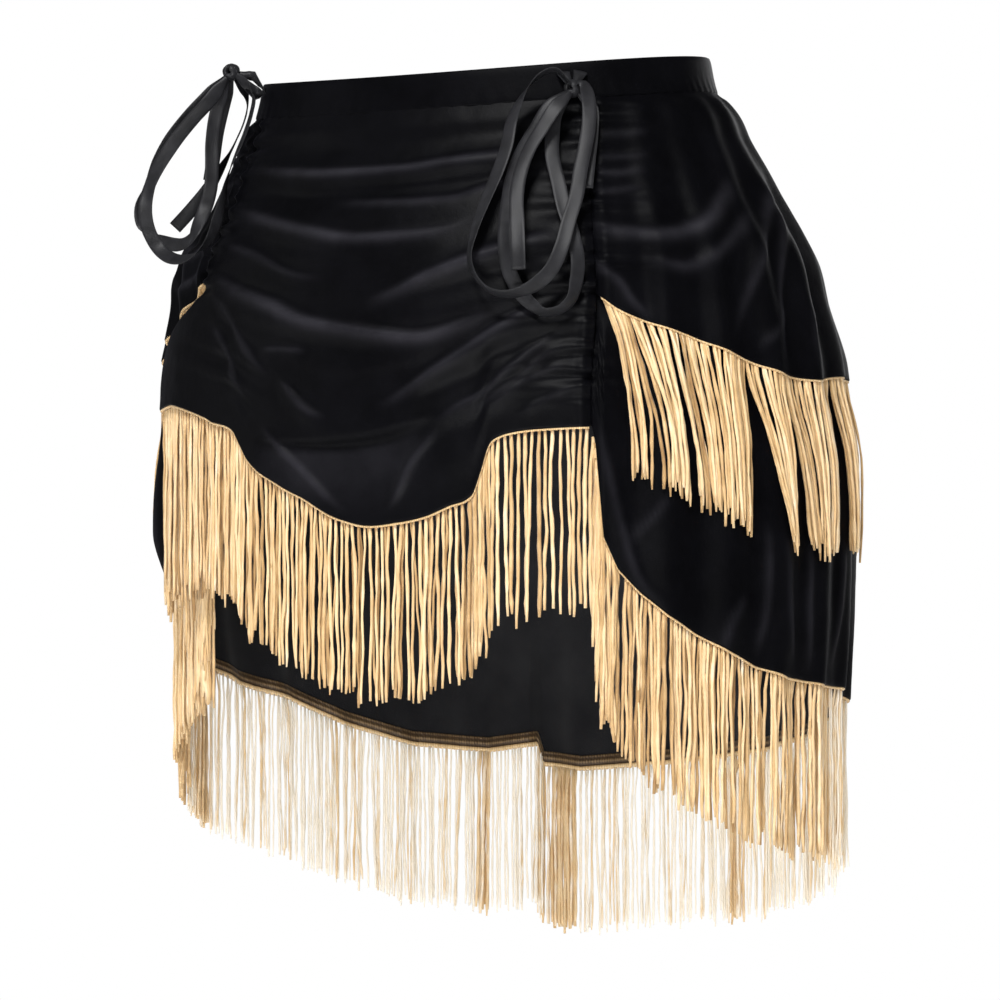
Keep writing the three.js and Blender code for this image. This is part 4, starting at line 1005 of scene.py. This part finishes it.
def lower_shares():
    even = np.linspace(0, 2, TIER_STEPS[0] - 24)
    steep = np.array([0.002, 0.004, 0.006, 0.0085, 0.0105, 0.013, 0.0165])
    lap_at = np.linspace(LAP_SHARE - 0.002, LAP_SHARE + 0.016, 10)
    return np.unique(np.concatenate([even, steep, 2 - steep, lap_at]))


def make_lower():
    share = lower_shares()[:, None]
    top = upper_hem(share) + TUCK
    return make_tier("velvet_lower_tier", share, top, lower_hem(share), lower_out, 0.0, LOWER_CREASES)


make_waistband()
front = make_front()
upper = make_upper()
lower = make_lower()

# Fringe
SIDES_OF_STRAND = 6
STRAND_PARTS = 17
STRAND_RADIUS = 0.98
TINT_SPREAD = 0.13
TINT_MOST = 0.56


def tubes(name, rows, node):
    """Closed tubes. rows holds, for each layer, lines (strand, point, xyz), radii, tints, and the
    directions sideways and away from the figure."""
    lines, radii, tints, sideways, outwards = (np.concatenate(v) for v in zip(*rows))
    count, points = lines.shape[:2]
    theta = np.linspace(0, 2 * math.pi, SIDES_OF_STRAND, endpoint=False)
    random = np.random.default_rng(count)
    profile = 1 + 0.13 * random.normal(size=(count, points))
    profile[:, 0] = 0.8
    profile[:, -1] = random.uniform(0.45, 0.9, count)
    circle = np.cos(theta)[:, None] * sideways[:, None] + np.sin(theta)[:, None] * outwards[:, None] * 0.85
    ring = lines[:, :, None] + circle[:, None] * (radii[:, None] * profile)[..., None, None]
    first = (np.arange(count) * points * SIDES_OF_STRAND)[:, None]
    circuit = np.arange(SIDES_OF_STRAND)[None]
    faces = (first[..., None] + ring_faces(points, SIDES_OF_STRAND)).reshape(-1, 4).tolist()
    faces += (first + circuit[:, ::-1]).tolist()
    faces += (first + (points - 1) * SIDES_OF_STRAND + circuit).tolist()
    piece = mesh_object(name, ring, faces, [gold])
    along = tints[:, None] + 0.05 * random.normal(size=(count, points))
    point_values(piece, "tint", np.repeat(along.reshape(-1), SIDES_OF_STRAND))
    return finish_piece(piece, "fringe", node)


def even_places(points, pitch):
    """Places along a line of points, pitch apart, as positions in the list."""
    run = np.concatenate([[0], np.cumsum(np.linalg.norm(np.diff(points, axis=0), axis=1))])
    count = int(run[-1] / pitch)
    at = (np.arange(count) + 0.5) * run[-1] / count
    return np.interp(at, run, np.arange(len(points))), at


def clumps(random, count, sizes):
    """Group number of each strand in a row."""
    groups, number = [], 0
    while len(groups) < count:
        groups += [number] * random.integers(*sizes)
        number += 1
    return np.array(groups[:count])


def pulled_together(random, at, groups, pull, drift):
    """How far each strand's foot moves along the row, towards the middle of its group."""
    shift = np.zeros(len(at))
    for group in np.unique(groups):
        mine = groups == group
        middle = at[mine].mean() + drift * random.normal()
        shift[mine] = (middle - at[mine]) * pull * random.uniform(0.4, 1.3)
    return shift


WAVERS = [(1.0, 0.5, 1.2), (0.5, 1.5, 2.6), (0.32, 3.0, 4.6)]  # depth, fewest and most waves


def waver(random, count, size):
    """A slow bend and quicker, smaller kinks along each strand, none at its root."""
    t = np.linspace(0, 1, STRAND_PARTS)[None]
    total = np.zeros((count, STRAND_PARTS))
    for depth, low, high in WAVERS:
        phase, rate = random.uniform(0, 2 * math.pi, (count, 1)), random.uniform(low, high, (count, 1))
        strength = random.uniform(0.3, 1.3, (count, 1))
        bend = np.sin(2 * math.pi * rate * t + phase) - np.sin(phase)
        total += depth * strength * bend * ease(0, 0.15, t)
    return size * total


def crossing(random, count, share, reach):
    """A few strands wander off across their neighbours."""
    return np.where(random.uniform(size=count) < share, reach * random.normal(size=count), 0.0)


def free_fringe(points, away, pitch, random, layers, look):
    """Layers of strands that hang free from a hem's inner edge. look(at share of the row) gives each
    strand's radius, tint, extra length, how steadily it hangs, how far aside it is combed and whether the
    layer has a strand there."""
    sideways = unit(np.cross(np.array([0, 0, 1.0]), away))
    rows = []
    t = np.linspace(0, 1, STRAND_PARTS)[None]
    for number, (depth, density, painted_shade, pull, sizes) in enumerate(layers):
        slots, at = even_places(points, pitch / density)
        slots = slots + random.normal(0, 0.1, len(slots))
        *looks, here = look(slots / (len(points) - 1), number)
        kept = here > random.uniform(size=len(slots))
        slots, at, radius, tint, longer, steady, combed = (v[kept] for v in (slots, at, *looks))
        count = len(slots)
        roots, side, outer = (np.stack([np.interp(slots, np.arange(len(v)), v[:, k]) for k in range(3)], -1)
                              for v in (points, sideways, away))
        side, outer = unit(side), unit(outer)
        roots = roots - outer * 0.6 + side * random.normal(0, 0.3, count)[:, None] - [0, 0, 0.6]
        drops = FRINGE_DROP + 1.5 + longer + random.normal(0, 2.2 + 0.35 * longer, count)
        groups = clumps(random, count, sizes)
        shift = pulled_together(random, at, groups, pull, 0.9) + crossing(random, count, 0.07, 3.0)
        shift = shift * (1 - 0.8 * steady)
        aside = shift[:, None] * t ** 1.2 + waver(random, count, 0.62) * (1 - 0.5 * steady)[:, None]
        aside = aside + combed[:, None] * (1 - (1 - t) ** 3.2)
        proud = waver(random, count, 0.5) + 0.6 * random.normal(size=(count, 1)) * t
        proud = proud - depth * ease(0, 0.12, t)
        line = roots[:, None] + side[:, None] * aside[..., None] + outer[:, None] * proud[..., None]
        line = line - np.array([0, 0, 1.0]) * (drops[:, None] * t)[..., None]
        # Painted shade: strands of the layers behind are darkened, less where they hang steadily
        tint = tint - painted_shade * (1 - 0.7 * steady) + random.normal(0, TINT_SPREAD, count)
        tint = np.clip(tint, 0, np.where(steady > 0, 1, TINT_MOST))
        rows.append((line, radius * random.uniform(0.75, 1.12, count), tint, side, outer))
    return rows


def front_fringe():
    across = np.linspace(-0.998, 0.995, 500)
    around, height = front_place(across, np.ones_like(across))
    out = front_out(across, np.ones_like(across), around, height) - CLOTH - HEADER_GAP
    across_at = np.linspace(0, 1, len(across))

    def look(share, number):
        here = np.interp(share, across_at, across)
        dense = [np.ones_like(here), ease(0.62, 0.4, here), ease(-0.38, -0.5, here)][number]
        longer = 4 * ease(0.5, 0.62, here) + 14 * ease(-0.6, -0.75, here)
        none = np.zeros_like(here)
        return np.full_like(here, STRAND_RADIUS), np.full_like(here, 0.4), longer, none, none, dense
    # The dark column is painted shade on the layers behind the first
    layers = [  # depth, density, dark, pull, sizes of its clumps
        (0.0, 1.0, 0.0, 0.3, (1, 5)),
        (2.2, 0.72, 0.24, 0.4, (1, 6)),
        (4.2, 0.8, 0.32, 0.3, (2, 6)),
    ]
    random = np.random.default_rng(11)
    rows = free_fringe(place(around, height, out), outward(around, height), 3.7, random, layers, look)
    return tubes("fringe_front_strands", rows, "fringe_front")


# Darker clumps in the back fringe, by share of the hem, where the painted backlight that makes the other back
# strands pale is mostly left out
CLUMPS = [  # middle, half width, strength
    (0.47, 0.008, 0.8), (0.83, 0.016, 0.9), (1.085, 0.02, 1.0), (1.184, 0.009, 0.7), (1.36, 0.008, 0.35),
    (1.615, 0.022, 0.9),
]


def lower_fringe():
    share = np.unique(np.concatenate([lower_shares(), np.linspace(0.0015, 1.9985, 1200)]))
    share = share[(share > 0.0015) & (share < 1.9985)]
    height = lower_hem(share)
    around = tier_around(share, height)
    out = lower_out(share, height) - CLOTH - HEADER_GAP
    at = np.linspace(0, 1, len(share))

    def look(where, number):
        here = np.interp(where, at, share)
        # Painted backlight: pale marks the back of the hem, whose strands are painted cream as if lit through
        # from behind
        pale = ease(0.34, 0.46, here) * (1 - ease(1.65, 1.69, here))
        tuft = np.zeros_like(here)
        for middle, half, strength in CLUMPS:
            tuft = np.maximum(tuft, strength * (1 - ease(0.7, 1.3, np.abs(here - middle) / half)))
        radius = STRAND_RADIUS * (1 - 0.26 * pale * (1 - tuft))
        # The tint adds that painted backlight, and past share 1.8 a painted lightening of strands that hang
        # in shade
        tint = 0.38 + 0.56 * pale * (1 - 0.72 * tuft) + 0.12 * ease(1.8, 1.9, here)
        near = ease(1.76, 1.86, here)
        dense = [
            np.maximum(np.maximum(pale, 0.8), tuft),
            0.85 - 0.25 * pale * (1 - tuft),
            np.maximum(near, tuft),
        ][number]
        combed = -30 * ease(1.92, 1.985, here)
        return radius, tint, np.zeros_like(here), np.maximum(tuft, 0.5 * pale), combed, dense
    # The dark column is painted shade on the layers behind the first
    layers = [  # depth, density, dark, pull, sizes of its clumps
        (0.0, 1.0, 0.0, 0.3, (1, 5)),
        (2.0, 0.85, 0.18, 0.35, (1, 6)),
        (3.8, 0.8, 0.22, 0.35, (1, 6)),
    ]
    random = np.random.default_rng(12)
    rows = free_fringe(place(around, height, out), outward(around, height), 2.9, random, layers, look)
    return tubes("fringe_lower_strands", rows, "fringe_lower")


# The upper fringe lies over the lower tier. Its strands are combed into tufts: from the share of the
# hem where a tuft starts to where it ends, and the same at its feet. quick above 1 sweeps sideways
# near the root and then hangs straight, and below 1 keeps drawing together down to the foot.
TUFTS = [  # from, to, foot from, foot to, quick
    (0.0, 0.032, 0.043, 0.068, 2.6),
    (0.032, 0.09, 0.078, 0.122, 2.0),
    (0.09, 0.205, 0.13, 0.2, 1.6),
    (0.205, 0.272, 0.259, 0.28, 0.9),
    (0.272, 0.4, 0.314, 0.372, 1.2),
    (0.4, 0.52, 0.42, 0.505, 1.2),
]
# The same beside the right ruching line, as shares back from it. They hang in under the flap, and
# the last one is combed away behind it.
RIGHT_TUFTS = [  # from, to, foot from, foot to, quick
    (0.19, 0.32, 0.272, 0.335, 2.2),
    (0.09, 0.19, 0.13, 0.165, 2.0),
    (0.032, 0.09, 0.089, 0.125, 2.0),
    (0.0, 0.032, 0.046, 0.076, 2.6),
]
RIGHT_TUFTS_START = 1.68


def tuft_table(random):
    """The tufts in view, then like ones round the back, and the last ones combed the other way."""
    rows = list(TUFTS)
    start = TUFTS[-1][1]
    while start < RIGHT_TUFTS_START - 0.02:
        end = min(start + random.uniform(0.06, 0.15), RIGHT_TUFTS_START)
        inset = (end - start) * random.uniform(0.03, 0.14)
        lean = random.normal(0, 0.008)
        rows.append((start, end, start + inset + lean, end - inset + lean, random.uniform(0.9, 1.6)))
        start = end
    for near, far, foot_near, foot_far, quick in RIGHT_TUFTS:
        rows.append((2 - far, 2 - near, 2 - foot_far, 2 - foot_near, quick))
    return np.array(rows)


UPPER_PITCH = 3.4
SHARE_LENGTH = 480  # millimetres of hem to one share, about
SHORTEST_FALL = 60  # of a strand that is swept far aside


def upper_fringe():
    random = np.random.default_rng(13)
    share = np.linspace(0.003, 1.997, 1000)
    height = upper_hem(share)
    around = tier_around(share, height)
    out = upper_out(share, height) - CLOTH - HEADER_GAP
    points = place(around, height, out)
    table = tuft_table(random)
    t = np.linspace(0, 1, STRAND_PARTS)[None]
    rows = []
    # Each layer's depth, density and painted shade; the layer nearest the cloth, under the others, is
    # darkened most
    for depth, density, painted_shade in [(-0.6, 1.0, 0.04), (-2.2, 0.6, -0.02), (0.2, 0.5, 0.3)]:
        slots = even_places(points, UPPER_PITCH / density)[0]
        slots = slots + random.normal(0, 0.2, len(slots))
        root_share = np.interp(slots, np.arange(len(share)), share)
        count = len(slots)
        tuft = table[np.clip(np.searchsorted(table[:, 0], root_share, side="right") - 1, 0, len(table) - 1)]
        u = (root_share - tuft[:, 0]) / (tuft[:, 1] - tuft[:, 0])
        foot = tuft[:, 2] + u * (tuft[:, 3] - tuft[:, 2]) + random.normal(0, 0.0022, count)
        foot = foot + crossing(random, count, 0.1, 0.007)
        quick = tuft[:, 4:5]
        drops = (FRINGE_DROP + 3.5 + random.normal(0, 2.6, count))[:, None]
        drawn = np.where(quick > 1, 1 - (1 - t) ** quick, t ** (1 / quick))
        path = root_share[:, None] + (foot - root_share)[:, None] * drawn
        path = np.clip(path + waver(random, count, 0.0013), 0.001, 1.999)
        moved = np.abs(foot - root_share)[:, None] * SHARE_LENGTH
        root_z = upper_hem(root_share)[:, None] + 1.5
        z = root_z - np.sqrt(np.maximum(drops ** 2 - moved ** 2, SHORTEST_FALL ** 2)) * t
        root_out = np.interp(slots, np.arange(len(share)), out)[:, None]
        surface = lower_out(path, z) + STRAND_RADIUS + 0.2
        hidden = ease(1.55, 1.68, root_share)[:, None]
        over = surface - depth * (1 - hidden) + 0.6 * random.uniform(0, 1, (count, 1)) * t
        reach = ease(0, 0.22, t)
        line_out = np.maximum(root_out * (1 - reach) + over * reach, surface)
        line = place(tier_around(path, z), z, line_out)
        middle = tier_around(root_share, upper_hem(root_share))
        away = outward(middle, np.full_like(middle, -200.0))
        side = unit(np.cross(np.array([0, 0, 1.0]), away))
        tint = np.clip(0.4 - painted_shade + random.normal(0, TINT_SPREAD, count), 0, TINT_MOST)
        rows.append((line, STRAND_RADIUS * random.uniform(0.72, 1.08, count), tint, side, away))
    return tubes("fringe_upper_strands", rows, "fringe_upper")


fringe_front = front_fringe()
fringe_lower = lower_fringe()
fringe_upper = upper_fringe()


# The woven header inside each hem, with a gold cord along its lower edge
# The tint column is painted light and shade: the raised ribs lighter, the grooves and the hidden back darker
HEADER_PROFILE = [  # above the hem's edge, proud of the cloth's inside, tint
    (-1.2, -0.8, 0.3), (-1.6, -0.2, 0.36), (-1.5, 0.9, 0.36), (-1.0, 1.7, 0.4), (0.0, 2.1, 0.4),
    (0.9, 1.5, 0.1), (1.7, 1.1, 0.0), (2.6, 1.5, 0.35), (3.4, 1.9, 0.6), (4.4, 1.5, 0.3), (5.2, 1.0, 0.0),
    (6.4, 1.1, 0.45), (7.2, 0.9, 0.3), (7.2, 0.3, 0), (3.6, 0.3, 0), (-0.4, 0.2, 0.2), (-0.9, -0.7, 0.4),
]
CORD_FACES = (0, 1, 2, 3, 4, 15, 16)
CORD_BEADS = 3.1


def header(name, height, out_at, columns_around):
    """A strip inside a hem. At a height for every column, out_at gives the cloth's outer side and
    columns_around how far round the column is."""
    edge = place(columns_around(height), height, out_at(height))
    run = np.concatenate([[0], np.cumsum(np.linalg.norm(np.diff(edge, axis=0), axis=1))])
    beads = 0.35 * np.abs(np.sin(math.pi * run / CORD_BEADS))
    ring = []
    for number, (above, proud, _) in enumerate(HEADER_PROFILE):
        z = height + above - (beads if number < 3 else 0)
        ring.append(place(columns_around(z), z, out_at(np.maximum(z, height)) - CLOTH - proud))
    ring = np.stack(ring, 1)
    columns, size = ring.shape[:2]
    faces = ring_faces(columns, size)[:, [0, 3, 2, 1]].tolist()
    faces += [list(range(size)), [(columns - 1) * size + s for s in range(size)][::-1]]
    is_cord = np.append(np.tile(np.isin(np.arange(size), CORD_FACES), columns - 1), [False, False])
    piece = mesh_object(name, ring, faces, [tape_brown, gold], is_cord)
    # Painted light and shade from the profile's tints, with a woven variation along the strip
    tints = np.array(HEADER_PROFILE)[:, 2] + 0.2 * np.sin(np.arange(columns) * 2.4)[:, None]
    point_values(piece, "tint", np.clip(tints, 0, 1))
    return finish_piece(piece, "fringe")


def front_header():
    across = np.linspace(-0.99, 0.99, 560)
    around, height = front_place(across, np.ones_like(across))

    def out_at(z):
        at = np.clip(1 - (z - height) / 190, 0, 1)
        return front_out(across, at, *front_place(across, at))
    return header("header_front", height, out_at, lambda z: around)


def tier_header(name, share, hem, out):
    return header(name, hem(share), lambda z: out(share, z), lambda z: tier_around(share, z))


low_shares = lower_shares()
low_shares = low_shares[(low_shares > 0.0125) & (low_shares < 1.9875)]
low_shares = np.unique(np.concatenate([low_shares, np.linspace(0.013, 1.987, 1200)]))
headers = [
    front_header(),
    tier_header("header_upper", np.linspace(0.006, 1.994, 1200), upper_hem, upper_out),
    tier_header("header_lower", low_shares, lower_hem, lower_out),
]

for piece, node, flat, area, extra in [
    (front, "front_panel", (0.34, 0.3), 0.075, [fringe_front, headers[0]]),
    (upper, "upper_tier", (1.02, 0.19), 0.165, [fringe_upper, headers[1]]),
    (lower, "lower_tier", (1.05, 0.27), 0.2, [fringe_lower, headers[2]]),
]:
    finish_piece(piece, "velvet", node)

# Floor
FLOOR_RADIUS = 2400.0
FLOOR_SIDES = 64
FLOOR_LEVEL = -0.75
FLOOR_SHADES = [(0.0, (0.94, 0.94, 0.94)), (1.0, (0.96, 0.96, 0.96))]
pale = material("floor_pale")
pale_nodes = Nodes(pale)
pale_place = pale_nodes.add("ShaderNodeTexCoord").outputs["Object"]
pale_noise = pale_nodes.add("ShaderNodeTexNoise", Vector=pale_place, Scale=3.0)
pale_colour = pale_nodes.ramp(pale_noise.outputs["Fac"], FLOOR_SHADES)
pale_shader = pale_nodes.add("ShaderNodeBsdfPrincipled", Base_Color=pale_colour, Roughness=0.9)
pale_nodes.finish(pale_shader.outputs["BSDF"])
turn = np.linspace(0, 2 * math.pi, FLOOR_SIDES, endpoint=False)
edge = np.stack([np.cos(turn), np.sin(turn), np.zeros(FLOOR_SIDES)], -1) * FLOOR_RADIUS
floor = mesh_object("floor", edge, [tuple(range(FLOOR_SIDES))], [pale])
floor.location = (0, 0, FLOOR_LEVEL)
